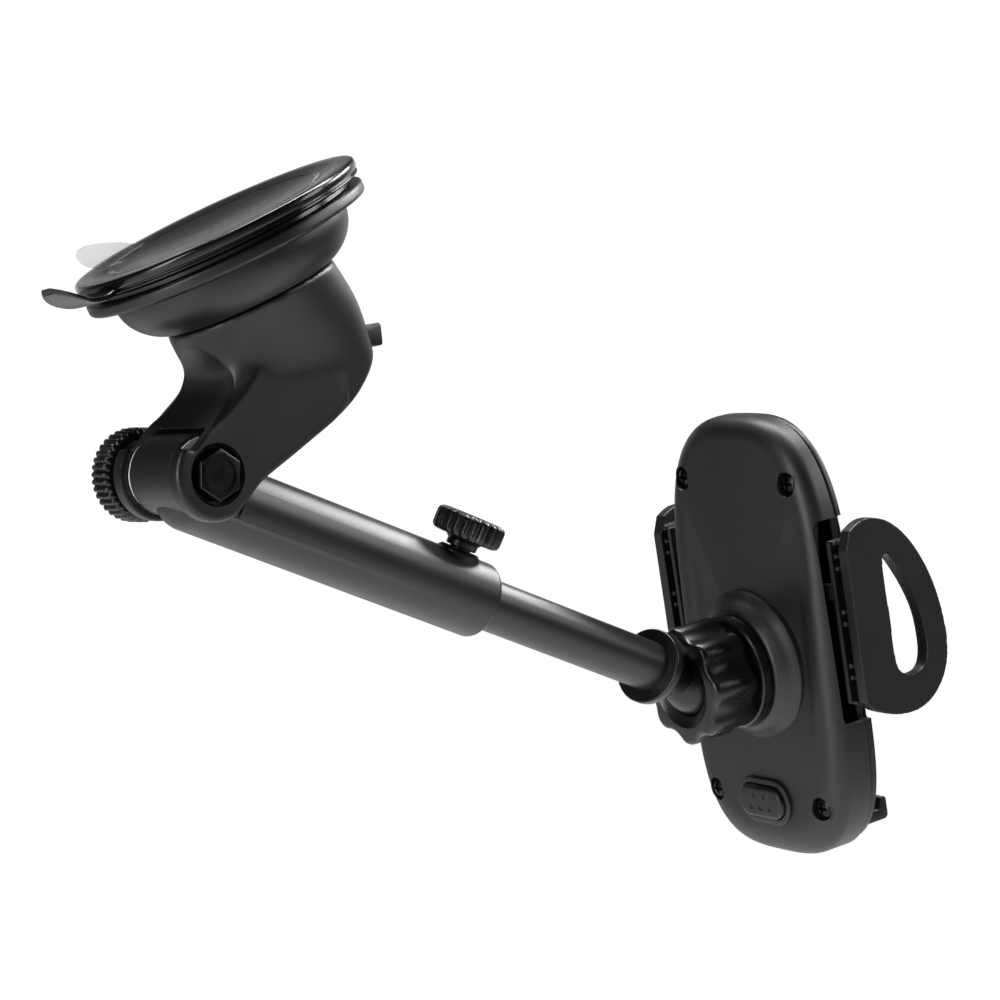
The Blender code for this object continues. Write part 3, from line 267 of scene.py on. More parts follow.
def superellipse(count, half_x, half_y, power):
    points = []
    for i in range(count):
        angle = TURN * i / count
        c = math.cos(angle)
        s = math.sin(angle)
        points.append((math.copysign(abs(c) ** (2 / power), c) * half_x,
                       math.copysign(abs(s) ** (2 / power), s) * half_y))
    return points


def oval(width, height, z=0.0, steps=64):
    """A slot-shaped (y, z) outline with round ends."""
    radius = height / 2
    reach = width / 2 - radius
    points = []
    for i in range(steps):
        angle = TURN * (i + 0.5) / steps
        side = reach if math.cos(angle) > 0 else -reach
        points.append((side + radius * math.cos(angle), z + radius * math.sin(angle)))
    return points


def ribbed(axis, stations, radius, ribs, depth, per_rib=8, roundness=2.0):
    """A knob with round ribs: stations are (height, inset) pairs from one end to the other."""
    rings = []
    for height, inset in stations:
        ring = []
        for i in range(ribs * per_rib):
            angle = TURN * i / (ribs * per_rib)
            valley = (0.5 - 0.5 * math.cos(ribs * angle)) ** roundness
            reach = radius - inset - depth * valley * max(0.0, 1 - inset / 2.5)
            ring.append(Vector((reach * math.cos(angle), reach * math.sin(angle), height)))
        rings.append(ring)
    return placed(loft(rings), AXIS_TURN[axis])


def piece(name, bm, where, finish, body, replaced=(), crease=32.0):
    """Put a shape in place as a finished piece that rides on a body."""
    bmesh.ops.remove_doubles(bm, verts=bm.verts, dist=0.0005)
    placed(bm, where)
    bmesh.ops.recalc_face_normals(bm, faces=bm.faces)
    mesh = bpy.data.meshes.new(name)
    bm.to_mesh(mesh)
    bm.free()
    mesh.materials.append(finish)
    mesh.shade_smooth()
    mesh.set_sharp_from_angle(angle=math.radians(crease))
    obj = bpy.data.objects.new(name, mesh)
    bpy.context.scene.collection.objects.link(obj)
    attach(obj, body)
    if replaced:
        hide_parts(*replaced)
    return obj


# ---- finishes -----------------------------------------------------------------------------------
def srgb(code):
    """Linear colour from a hex code."""
    values = [int(code[i:i + 2], 16) / 255 for i in (0, 2, 4)]
    return [v / 12.92 if v <= 0.04045 else ((v + 0.055) / 1.055) ** 2.4 for v in values] + [1.0]


def add(tree, kind, inputs=(), **settings):
    """Add a node: settings are its properties, inputs pairs of a socket and a value or a link."""
    made = tree.nodes.new(kind)
    for key, value in settings.items():
        setattr(made, key, value)
    for socket, value in inputs:
        if isinstance(value, bpy.types.NodeSocket):
            tree.links.new(value, made.inputs[socket])
        else:
            made.inputs[socket].default_value = value
    return made


def surface(name, dark, light, rough, spread, grain, depth, ior=1.5, metallic=0.0, drift=14.0,
            stretch=(1, 1, 1)):
    """A solid finish: grain is its size and depth its height in mm, drift the size of its patches."""
    mat = bpy.data.materials.new(name)
    mat.use_nodes = True
    tree = mat.node_tree
    shader = tree.nodes["Principled BSDF"]
    place = add(tree, "ShaderNodeTexCoord").outputs["Object"]
    along = add(tree, "ShaderNodeMapping", [("Vector", place), ("Scale", stretch)]).outputs[0]
    patches = add(tree, "ShaderNodeTexNoise", [("Vector", place), ("Scale", 1 / (drift * MM)),
                                               ("Detail", 5.0), ("Roughness", 0.55)])
    fine = add(tree, "ShaderNodeTexNoise", [("Vector", along), ("Scale", 1 / (grain * MM)),
                                            ("Detail", 3.0), ("Roughness", 0.6)])
    colour = add(tree, "ShaderNodeMix", [(0, patches.outputs["Fac"]), (6, srgb(dark)),
                                         (7, srgb(light))], data_type="RGBA")
    tree.links.new(colour.outputs[2], shader.inputs["Base Color"])
    blended = add(tree, "ShaderNodeMath", [(0, patches.outputs["Fac"]), (1, fine.outputs["Fac"])],
                  operation="ADD")
    gloss = add(tree, "ShaderNodeMapRange", [("Value", blended.outputs[0]), (1, 0.6), (2, 1.4),
                                             (3, rough - spread), (4, rough + spread)])
    tree.links.new(gloss.outputs[0], shader.inputs["Roughness"])
    if depth > 0:
        bump = add(tree, "ShaderNodeBump", [("Height", fine.outputs["Fac"]), ("Strength", 0.6),
                                            ("Distance", depth * MM)])
        tree.links.new(bump.outputs[0], shader.inputs["Normal"])
    shader.inputs["Metallic"].default_value = metallic
    if metallic == 0:
        shader.inputs["IOR"].default_value = ior
    return mat


# cast polyurethane gel: wet-looking and tacky, with a faint haze of handling
GEL = surface("cast_polyurethane_gel", "060607", "0c0c0e", 0.20, 0.07, 1.6, 0.003, ior=1.48)
# spark-eroded ABS moulding: even satin with a fine grain that breaks up the light
ABS = surface("moulded_abs_satin", "0c0c0d", "131314", 0.40, 0.05, 0.45, 0.016, ior=1.50)
# the cover's ABS has a coarser spark grain; it is drawn a little coarser than real so it shows
COVER_ABS = surface("moulded_abs_grained", "131315", "1b1b1e", 0.44, 0.06, 0.55, 0.040, ior=1.53)
# extruded and sprayed tube: smooth satin paint with very slight orange peel
TUBE_PAINT = surface("sprayed_tube_satin", "161618", "1d1d20", 0.36, 0.05, 0.9, 0.010, ior=1.50)
# glass-filled nylon: harder and a little glossier, flow marks show as soft patches
NYLON = surface("moulded_nylon", "0b0b0c", "131315", 0.30, 0.07, 0.7, 0.010, ior=1.50, drift=7.0)
# moulded silicone rubber: dull, with dust caught in the surface
RUBBER = surface("moulded_rubber", "0e0e0e", "161616", 0.78, 0.07, 0.5, 0.020, ior=1.45)
# acetal: white, waxy and slick
ACETAL = surface("turned_acetal", "d9d8d2", "e6e5df", 0.36, 0.05, 0.8, 0.004, ior=1.48)
# zinc plated steel: pale grey with short brushed streaks
ZINC = surface("zinc_plated_steel", "b4b6b9", "cfd0d2", 0.30, 0.08, 0.5, 0.004, metallic=1.0,
               stretch=(1, 1, 6))
# black oxide steel: dark, oily sheen with paler worn patches
BLACK_STEEL = surface("black_oxide_steel", "1c1c1e", "39393c", 0.34, 0.10, 0.6, 0.008,
                      metallic=1.0, drift=4.0)


def clear_film():
    """Blown PET film: clear, glossy, seen by its reflections and its cut edge."""
    mat = surface("clear_pet_film", "f4f6f8", "ffffff", 0.06, 0.03, 3.0, 0.003, ior=1.57)
    shader = mat.node_tree.nodes["Principled BSDF"]
    shader.inputs["Transmission Weight"].default_value = 1.0
    return mat


FILM = clear_film()


def light_table():
    """Opal acrylic floor lit from below: pale and even, seen as white."""
    mat = surface("opal_acrylic_floor", "f0f0f0", "f6f6f6", 0.60, 0.05, 30.0, 0.0)
    shader = mat.node_tree.nodes["Principled BSDF"]
    shader.inputs["Emission Color"].default_value = (1.0, 1.0, 1.0, 1.0)
    seen = add(mat.node_tree, "ShaderNodeLightPath").outputs["Is Camera Ray"]
    glow = add(mat.node_tree, "ShaderNodeMath", [(0, seen), (1, 0.80)], operation="MULTIPLY")
    lit = add(mat.node_tree, "ShaderNodeMath", [(0, glow.outputs[0]), (1, 0.15)], operation="ADD")
    mat.node_tree.links.new(lit.outputs[0], shader.inputs["Emission Strength"])
    return mat


# ---- suction head -------------------------------------------------------------------------------
PAD_R = 33.4
FACE_R = 29.6
PAD_DISH = 1.9
TAB_HALF = 6.5
FILM_R = 25.4
FILM_THICK = 0.10
FLANGE_R = 33.0
FLANGE_TOP = -5.0
FLANGE_LOW = -7.6
BELL_LOW = -18.0
NECK_R = 20.0


def dish_height(radius):
    return -PAD_DISH * (1 - (radius / FACE_R) ** 2)


def make_pad():
    dish = [(FACE_R * k / 20, dish_height(FACE_R * k / 20)) for k in range(21)]
    rim = arc(PAD_R - 0.8, -0.8, 0.8, 90, 0, 6)
    lip = [(PAD_R, -1.7), (PAD_R - 0.15, -2.0), (PAD_R - 0.55, -2.25), (PAD_R - 0.55, -2.5),
           (PAD_R - 0.25, -2.75), (PAD_R - 0.25, -3.05), (PAD_R - 0.6, -3.3)]
    under = [(PAD_R - 2.6, -3.5), (PAD_R - 3.0, -3.9), (PAD_R - 3.0, -4.7), (0.0, -4.7)]
    bm = lathe(dish + rim + lip + under, steps=160)
    rings = []
    for k in range(15):
        share = k / 14
        x = -31.4 - 13.0 * share
        rounding = max(0.0, share - 0.72) / 0.30
        wide = TAB_HALF * math.sqrt(max(0.12, 1 - rounding ** 2))
        middle = -1.7 - 1.6 * math.sin(math.pi * share) + 5.4 * share ** 2
        section = superellipse(24, wide, 0.75, 5.0)
        rings.append([Vector((x, y, middle + z)) for y, z in section])
    bm = join(bm, loft(rings))
    piece("gel_pad", bm, CUP, GEL, "base", ["suction_pad"])


def make_film():
    """Clear cover film clinging to the dish, with a round lift tab that curls up at the edge."""
    low = FILM_R - 1.4
    profile = [(low, dish_height(low) - 0.05), (FILM_R, dish_height(FILM_R) - 0.05),
               (FILM_R, dish_height(FILM_R) + FILM_THICK), (low, dish_height(low) + 0.03)]
    piece("cover_film", lathe(profile, steps=128, loop=True), CUP, FILM, "base")
    lift = Matrix.Rotation(math.radians(114), 4, "Z")
    rings = []
    for k in range(17):
        share = k / 16
        reach = 24.6 + 10.6 * share
        wide = 8.4 * math.sqrt(max(0.02, 1 - max(0.0, share - 0.3) ** 2 / 0.49))
        height = dish_height(FILM_R) + 0.15 + 5.0 * share ** 1.5
        rings.append([lift @ Vector((reach, side * wide, height + up))
                      for side, up in ((-1, 0), (1, 0), (1, FILM_THICK), (-1, FILM_THICK))])
    piece("film_tab", loft(rings), CUP, FILM, "base")


def make_skirt():
    top = [(15.6, FLANGE_TOP), (FLANGE_R - 0.4, FLANGE_TOP)]
    flange = arc(FLANGE_R - 0.5, FLANGE_TOP - 0.5, 0.5, 80, 0, 4)
    flange += arc(FLANGE_R - 0.8, FLANGE_LOW + 0.8, 0.8, 0, -80, 6)
    flange += [(NECK_R + 9.4, FLANGE_LOW - 0.25), (NECK_R + 8.5, FLANGE_LOW - 0.55)]
    bell = []
    for k in range(19):
        angle = math.radians(5 * k)
        bell.append((NECK_R + 7.6 * math.cos(angle) ** 1.4,
                     FLANGE_LOW - 1.0 - (FLANGE_LOW - 1.0 - BELL_LOW) * math.sin(angle)))
    inner = [(3.5, BELL_LOW), (3.5, -14.6), (7.0, -14.6), (7.0, -9.6), (15.6, -9.6)]
    bm = lathe(top + flange + bell + inner, steps=160, loop=True)
    piece("bell_skirt", bm, CUP, ABS, "base", ["suction_skirt"])


# front point, back point (x, z from the hinge), half width, squareness of each neck section
NECK_SECTIONS = (
    ((1.4, 26.4), (41.0, 40.4), 17.6, 2.3),
    ((4.4, 22.4), (44.2, 32.0), 14.8, 3.1),
    ((4.0, 18.6), (45.0, 26.0), 13.3, 4.4),
    ((0.8, 14.0), (41.0, 18.4), 13.0, 4.6),
    ((-2.6, 10.2), (34.0, 12.6), 13.0, 7.0),
)
EAR_EDGE = ((1.4, 12.6), (6.1, 17.4), (9.6, 21.8), (13.0, 25.0), (20.0, 28.0), (28.0, 27.0),
            (33.6, 21.5), (34.6, 16.4), (31.4, 12.0), (21.3, 5.0), (12.1, -1.2))
# edge of the hollow down the front of the neck (x, half width, z) and how deep it is
HOLLOW = (
    (-6.0, 13.6, 5.0, 2.0),
    (0.6, 13.6, 12.8, 2.6),
    (4.1, 13.6, 17.2, 2.4),
    (5.6, 13.2, 21.0, 1.2),
    (4.0, 12.6, 24.5, 0.4),
    (-0.5, 12.0, 28.0, 0.2),
    (-6.0, 10.0, 32.0, 0.1),
)
EAR_R = 10.2
EAR_FACE = 13.3
SLOT_HALF = 9.4
SLOT_TOP = 9.8
LEVER_DROP = 31.0
LEVER_DIP = math.radians(21)
HEX_FLATS = 10.0
BOLT_R = 3.0
BOLT_BORE = 3.3
KNOB_R = 10.5


def make_neck():
    count = 96
    seam = HINGE.inverted() @ CUP
    rings = [[seam @ Vector((x, y, BELL_LOW - 0.3))
              for x, y in superellipse(count, NECK_R - 0.1, NECK_R - 0.1, 2)]]
    for front, back, half, power in NECK_SECTIONS:
        front = Vector((front[0], 0, front[1]))
        back = Vector((back[0], 0, back[1]))
        along = (back - front).normalized()
        shape = superellipse(count, (back - front).length / 2, half, power)
        rings.append([(front + back) / 2 + along * x + Vector((0, y, 0)) for x, y in shape])
    stacked = [flow(column, 5, closed=False) for column in zip(*rings)]
    neck = loft([list(ring) for ring in zip(*stacked)])
    ears = arc(0, 0, EAR_R, 300, 104, 48) + list(EAR_EDGE)
    neck = melt(join(neck, plate(ears, -EAR_FACE, EAR_FACE, "Y")), 0.5, 22)
    slot = [(-30, -30), (-30, SLOT_TOP), (1, SLOT_TOP), (6, 8.6), (9, 8.2), (45, 15.8), (45, -30)]
    well = [(-7, -38), (8, -38), (22, -44.5), (60, -47), (60, -21), (14, -22), (-7, -24)]
    lever_well = placed(plate(well, -6.8, 6.8, "Y"), seam)
    rod_bore = placed(rod(3.5, -33, 0), seam)
    neck = cut(neck, plate(slot, -SLOT_HALF, SLOT_HALF, "Y"), lever_well, rod_bore)
    sections = []
    for x, half, z, depth in flow(HOLLOW, 4, closed=False):
        bowl = [Vector((x + depth * math.cos(math.pi / 2 * t), half * t, z))
                for t in [k / 12 for k in range(-12, 13)]]
        sections.append(bowl + [Vector((x - 30, half, z + 6)), Vector((x - 30, -half, z + 6))])
    neck = melt(cut(neck, loft(sections)), 0.42, 2)
    counterbore = lathe([(0.0, -14.5), (7.3, -14.5), (6.7, -EAR_FACE + 0.35),
                         (6.3, -EAR_FACE + 0.9), (6.3, -10.1), (0.0, -10.1)], "Y")
    neck = cut(neck, rod(BOLT_BORE, -20, 20, "Y"), counterbore)
    piece("neck", neck, HINGE, ABS, "base", ["base_neck"])


def make_lever():
    turn = CUP @ Matrix.Translation((0, 0, -LEVER_DROP)) @ Matrix.Rotation(LEVER_DIP, 4, "Y")
    outline = arc(0, 0, 5.0, 35, 325, 40)
    outline += [(8.0, -2.2), (23.6, -2.2)] + arc(24.0, -1.4, 0.9, -70, 0, 4)
    outline += arc(24.2, 2.2, 0.8, 0, 110, 5) + [(21.6, 2.5), (20.2, 2.2), (8.0, 2.2)]
    bm = round_edges(plate(outline, -6.3, 6.3, "Y"), 0.5)
    bm = cut(bm, block((-8, -3.5, -8), (7, 3.5, 8)), rod(1.8, -8, 8, "Y", 32))
    piece("lock_lever_arm", bm, turn, NYLON, "lever", ["lock_lever"])


# ---- hinge --------------------------------------------------------------------------------------
def make_bolt():
    corner = HEX_FLATS / math.sqrt(3)
    outline = [(corner * math.sin(TURN * i / 6), corner * math.cos(TURN * i / 6)) for i in range(6)]
    head = round_edges(plate(outline, -14.4, -10.4, "Y"), 0.35)
    crown = pipe(4.35, 3.75, -14.62, -14.2, "Y", 64)
    head = join(head, crown, rod(BOLT_R, -11.0, 20.0, "Y"))
    head = cut(head, lathe([(0.0, -16), (3.5, -16), (3.5, -14.25), (0.0, -14.0)], "Y", 64))
    piece("hex_bolt", head, HINGE, BLACK_STEEL, "base", ["hinge_bolt"])


def make_thumb_nut():
    stations = ((15.4, 1.0), (15.7, 0.35), (16.2, 0.0), (20.9, 0.0), (21.4, 0.3), (21.7, 0.9),
                (21.7, 2.2), (21.35, 2.5), (21.25, 6.0))
    knob = ribbed("Y", stations, KNOB_R, 38, 0.62)
    collar = lathe([(0.0, 13.6), (7.7, 13.6), (8.0, 13.9), (8.0, 16.0), (0.0, 16.0)], "Y")
    knob = cut(join(knob, collar), rod(BOLT_BORE, 12.0, 20.4, "Y"))
    piece("thumb_nut_knob", knob, HINGE, NYLON, "thumb_nut",
          ["hinge_thumb_nut"])


# ---- telescopic arm -----------------------------------------------------------------------------
OUTER_R = 9.0
OUTER_END = 86.3
TUBE_DROP = -2.7
BORE_R = 7.6
BORE_START = 16.0
BARREL_R = 8.9
BARREL_HALF = 8.2
INNER_R = 6.13
INNER_BORE = 4.93
CLAMP_R = 8.35
BALL_R = 8.0
STEM_R = 4.2


def make_outer_tube():
    nose = [(OUTER_R * math.sqrt(1 - (1 - k / 16) ** 2), 3 + (k / 16 - 1) * 8.0) for k in range(17)]
    mouth = arc(OUTER_R - 1.2, OUTER_END - 1.2, 1.2, 0, 90, 8)
    bore = [(BORE_R, OUTER_END - 0.3), (BORE_R, BORE_START), (0.0, BORE_START)]
    body = moved(lathe(nose + mouth + bore, "X", 160), z=TUBE_DROP)
    half = BARREL_HALF
    inset = BARREL_R - 0.4
    barrel = lathe([(0.0, -half), (inset, -half), (BARREL_R, -half + 0.4), (BARREL_R, half - 0.4),
                    (inset, half), (0.0, half)], "Y", 128)
    for low, high in ((-17, -half), (half, 17)):
        body = cut(body, block((-30, low, -30), (11.2, high, 30)))
    body = join(barrel, body)
    clock = ARM.inverted() @ TUBE @ Matrix.Translation((CLAMP_AT, 0, 0))
    boss = lathe([(0.0, 6.5), (5.6, 6.5), (5.2, 9.0), (4.7, 9.5), (4.4, 9.7), (0.0, 9.7)])
    hole = placed(rod(2.8, 5.0, 20.0), clock)
    body = cut(join(body, placed(boss, clock)), hole, rod(BOLT_BORE, -20, 20, "Y"),
               moved(rod(BORE_R - 0.02, BORE_START, OUTER_END + 1.0, "X", 160), z=TUBE_DROP))
    piece("outer_tube_shell", body, ARM, TUBE_PAINT, "outer_arm", ["outer_tube"])


def make_clamp_screw():
    stations = ((12.2, 1.3), (12.5, 0.5), (13.1, 0.1), (13.7, 0.0), (16.6, 0.0), (17.3, 0.25),
                (17.75, 0.9), (17.9, 1.8), (17.75, 2.4), (17.7, 6.0))
    knob = ribbed("Z", stations, CLAMP_R, 22, 0.7)
    shank = lathe([(0.0, 6.5), (2.5, 6.5), (2.5, 10.0), (3.4, 10.0), (3.7, 10.3), (3.7, 11.4),
                   (4.6, 12.3), (4.6, 13.0), (0.0, 13.0)], "Z", 64)
    piece("clamp_knob", join(knob, shank), TUBE @ Matrix.Translation((CLAMP_AT, 0, 0)), NYLON,
          "clamp", ["clamp_screw"])


def make_inner_tube():
    bm = pipe(INNER_R, INNER_BORE, 60.0, INNER_END + 4, "X", 128)
    bend = (TUBE.inverted() @ STEM).to_3x3() @ Vector((1, 0, 0))
    cutting = bmesh.ops.bisect_plane(bm, geom=bm.verts[:] + bm.edges[:] + bm.faces[:], dist=0.0001,
                                     plane_co=(INNER_END - 0.02, 0, 0), plane_no=bend,
                                     clear_outer=True)
    rim = [item for item in cutting["geom_cut"] if isinstance(item, bmesh.types.BMEdge)]
    bmesh.ops.bridge_loops(bm, edges=rim)
    groove = pipe(INNER_R + 1.37, INNER_R - 0.5, 61.0, 65.0, "X", 128)
    piece("inner_tube_shell", cut(bm, groove), TUBE, TUBE_PAINT, "inner_arm",
          ["inner_tube"])


def make_stem():
    start = math.degrees(math.asin(STEM_R / BALL_R))
    collar = [(0.0, 0.0), (8.7, 0.0)]
    collar += arc(8.9, 0.4, 0.4, -90, 0, 4) + arc(8.7, 2.0, 0.6, 0, 60, 4)
    taper = [(7.4, 3.4), (6.7, 4.2), (6.3, 4.5), (6.3, 4.8), (5.9, 5.0), (5.9, 5.5), (5.5, 5.7),
             (5.5, 6.2), (5.1, 6.5), (4.6, 7.1), (STEM_R, 8.0)]
    ball = []
    for k in range(25):
        angle = math.radians(180 - start - (180 - start) * k / 24)
        ball.append((BALL_R * math.sin(angle), STEM_LENGTH + BALL_R * math.cos(angle)))
    ball[-1] = (0.0, STEM_LENGTH + BALL_R)
    bm = lathe(collar + taper + ball, "X", 128)
    plug = placed(rod(4.6, INNER_END - 14, INNER_END + 1.0, "X"), STEM.inverted() @ TUBE)
    piece("ball_stem_post", join(bm, plug), STEM, NYLON, "inner_arm",
          ["ball_stem"])


# ---- ball joint ---------------------------------------------------------------------------------
SEAT_R = 9.4
NUT_LOBES = 8
NUT_R = 14.1
NUT_SWELL = 0.95


def make_socket():
    """Cup that holds the ball, with a thread for the nut and a flange against the cradle."""
    cavity = [(SEAT_R * math.sin(math.radians(a)), SEAT_R * math.cos(math.radians(a)))
              for a in range(0, 91, 6)]
    cavity[-1] = (SEAT_R, 0.0)
    thread = []
    for turn in range(3):
        low = 8.35 + 0.68 * turn
        thread += [(11.5, low), (12.3, low + 0.22), (12.3, low + 0.40), (11.5, low + 0.62)]
    flange = [(11.6, 10.4), (13.9, 10.4), (14.3, 10.8), (14.3, 13.0), (13.9, 13.4), (4.2, 13.4),
              (4.2, 16.3), (0.0, 16.3)]
    rim = [(SEAT_R, -0.4), (11.0, -0.4), (11.4, 0.1), (11.4, 8.3)]
    bm = lathe(cavity + rim + thread + flange, "X", 128)
    slit = 0.6
    bm = cut(bm, block((-2, -15, -slit), (6, 15, slit)), block((-2, -slit, -15), (6, slit, 15)))
    piece("ball_socket_cup", bm, CRADLE, NYLON, "cradle", ["ball_socket"])


def make_ball_nut():
    rings = []
    for x, inset in ((-4.8, 1.5), (-4.72, 0.85), (-4.4, 0.35), (-3.9, 0.08), (-3.4, 0.0),
                     (7.3, 0.0), (7.75, 0.15), (8.0, 0.6)):
        ring = []
        for i in range(NUT_LOBES * 20):
            angle = TURN * i / (NUT_LOBES * 20)
            wave = math.cos(NUT_LOBES * angle)
            wave = math.copysign(abs(wave) ** 0.8, wave)
            reach = NUT_R + NUT_SWELL * wave - inset
            ring.append(Vector((x, reach * math.cos(angle), reach * math.sin(angle))))
        rings.append(ring)
    bm = loft(rings)
    profile = [(0.0, -6.0), (11.2, -6.0), (10.6, -4.9), (9.9, -4.35), (8.6, -3.7), (7.79, -3.35),
               (7.79, -3.0), (8.1, -2.2), (11.7, -1.0), (11.7, 9.0), (0.0, 9.0)]
    piece("lobed_nut", cut(bm, lathe(profile, "X", 128)), CRADLE, NYLON, "nut",
          ["ball_nut"])


# ---- cradle -------------------------------------------------------------------------------------
COVER_X = 18.35
COVER_SLOPE = 0.0415
COVER_FRONT = 28.6
HALF_W = 29.5
SCREWS = [(side * 20.7, z) for z in (47.0, -35.0) for side in (1, -1)]
BUTTON_Z = -35.2
JAW_LOW = -14.0
JAW_HIGH = 37.6
COVER_EDGE = 5.0
JAW_IN = 35.3
JAW_OUT = 38.5
CHANNEL_WALL = 31.0
FOOT_LOW = -44.8
FOOT_TOP = -42.2
FOOT_TIP = 42.65


def cover_outline(inset=0.0, count=200):
    """Outline of the cradle body, (y, z): domed top, straight sides, rounded foot."""
    points = []
    for i in range(count):
        angle = TURN * (i + 0.5) / count
        c = math.cos(angle)
        s = math.sin(angle)
        power = 2.8 if s >= 0 else 3.2
        shrink = inset * (1 - 0.7 * min(s, 0.0))
        if s >= 0:
            z = 20.0 + (43.0 - shrink) * s ** (2 / power)
        else:
            z = -10.0 - (39.5 - shrink) * (-s) ** (2 / power)
        points.append((math.copysign(abs(c) ** (2 / power), c) * (HALF_W - shrink), z))
    return points


def cover_face(z):
    return COVER_X + COVER_SLOPE * z


def ease(value):
    value = min(max(value, 0.0), 1.0)
    return value * value * (3 - 2 * value)


def cover_relief(y, z):
    """How far the back sinks below its plane: a slight crown and a long facet under each top screw."""
    side = abs(y)
    crown = 0.7 * (side / HALF_W) ** 2
    grown = min(max((41.0 - z) / 27.0, 0.0), 1.0)
    inner = 20.7 - 13.0 * grown
    outer = 20.9 - 0.8 * grown
    fade = ease((z + 24.0) / 30.0)
    ramp = min(max((side - inner) / max(outer - inner, 0.6), 0.0), 1.0)
    back_up = 1 - ease((side - outer) / 3.2)
    return crown + 1.35 * grown * ramp * back_up * fade


def jaw_notch(side, low_x, high_x):
    """Cutter for the side opening that a jaw slides in, with rounded corners."""
    outline = arc(low_x + 2, JAW_LOW + 2, 2, 180, 270, 5) + [(high_x, JAW_LOW), (high_x, JAW_HIGH)]
    outline += arc(low_x + 2, JAW_HIGH - 2, 2, 90, 180, 5)
    return plate(outline, *sorted((side * 25.95, side * 40.0)), "Y")


def make_back_cover():
    rings = [[Vector((COVER_FRONT, y, z)) for y, z in cover_outline(0.3)],
             [Vector((COVER_FRONT - 0.3, y, z)) for y, z in cover_outline(0.0)]]
    for k in range(13):
        angle = math.radians(90 - 7.5 * k)
        depth = COVER_EDGE * (1 - math.cos(angle))
        inset = COVER_EDGE * (1 - math.sin(angle))
        rings.append([Vector((cover_face(z) + depth, y, z)) for y, z in cover_outline(inset)])
    for k in range(1, 49):
        share = 1 - k / 49
        flat = [(share * y, 8.0 + share * (z - 8.0)) for y, z in cover_outline(COVER_EDGE)]
        rings.append([Vector((cover_face(z), y, z)) for y, z in flat])
    for ring in rings[2:]:
        for point in ring:
            near = min(max((24.0 - point.x) / 5.0, 0.0), 1.0)
            point.x += cover_relief(point.y, point.z) * near
    cover = loft(rings)
    boss = lathe([(0.0, 21.0), (19.6, 21.0), (19.3, 18.3), (18.7, 17.6), (17.9, 17.0), (17.0, 16.0),
                  (15.6, 14.2), (15.2, 13.9), (14.9, 13.7), (0.0, 13.7)], "X", 128)
    face = cover_face(BUTTON_Z)
    ring = round_edges(plate(oval(20.4, 11.9, BUTTON_Z), face - 0.9, face + 1.4, "X"), 0.45)
    cavity = [[Vector((cover_face(z) + 2.4, y, z)) for y, z in cover_outline(6.0, 96)],
              [Vector((cover_face(z) + 5.4, y, z)) for y, z in cover_outline(2.2, 96)],
              [Vector((COVER_FRONT + 1.0, y, z)) for y, z in cover_outline(2.2, 96)]]
    cover = cut(join(cover, boss, ring), loft(cavity))
    for y, z in SCREWS:
        post = moved(rod(3.6, cover_face(z) + 1.4, COVER_FRONT - 0.2, "X", 40), y=y, z=z)
        seat = cover_face(z) + 3.1
        hole = lathe([(0.0, 10.0), (3.7, 10.0), (3.5, cover_face(z) - 0.3),
                      (3.05, cover_face(z) + 0.5), (3.05, seat), (1.3, seat), (1.3, 30.0),
                      (0.0, 30.0)], "X", 40)
        cover = cut(join(cover, post), moved(hole, y=y, z=z))
    cover = cut(cover, jaw_notch(1, 21.7, 34), jaw_notch(-1, 21.7, 34),
                rod(4.5, 0.0, 30.0, "X"), rod(6.3, 16.3, 30.0, "X"),
                plate(oval(17.6, 9.1, BUTTON_Z), face - 5, face + 4, "X"))
    piece("cradle_back", cover, CRADLE, COVER_ABS, "cradle", ["back_cover"],
          crease=28.0)


def make_cover_screws():
    for number, (y, z) in enumerate(SCREWS, start=1):
        head = cover_face(z) + 1.0
        profile = [(0.0, head - 0.25), (1.2, head - 0.15), (2.2, head + 0.25), (2.75, head + 0.9),
                   (2.75, head + 1.8), (1.0, head + 1.8), (1.0, 30.1), (0.0, 30.1)]
        screw = lathe(profile, "X", 40)
        for wide, tall in ((1.6, 0.38), (0.38, 1.6)):
            screw = cut(screw, block((head - 1.5, -wide, -tall), (head + 1.0, wide, tall)))
        piece(f"cross_screw_{number}", moved(screw, y=y, z=z), CRADLE, BLACK_STEEL, "cradle",
              [f"cover_screw_{number}"])


def make_button():
    face = cover_face(BUTTON_Z)
    top = face - 2.2
    rings = []
    for x, inset in ((top, 2.4), (top + 0.05, 1.4), (top + 0.25, 0.7), (top + 0.65, 0.2),
                     (top + 1.1, 0.0), (face + 2.6, 0.0)):
        rings.append([Vector((x, y, z)) for y, z in oval(17.0 - inset, 8.5 - inset, BUTTON_Z)])
    button = join(loft(rings), plate(oval(19.4, 10.9, BUTTON_Z), face + 2.5, face + 3.4, "X"),
                  moved(rod(2.0, face + 2.6, 21.7, "X", 32), z=BUTTON_Z))
    for y, z in ((1.8, 1.6), (-1.8, 1.6), (3.6, -1.6), (0.0, -1.6), (-3.6, -1.6)):
        dimple = bmesh.new()
        bmesh.ops.create_uvsphere(dimple, u_segments=16, v_segments=10, radius=0.62)
        button = cut(button, moved(dimple, top - 0.1, y, BUTTON_Z + z))
    piece("push_button", button, CRADLE, ABS, "button", ["release_button"])


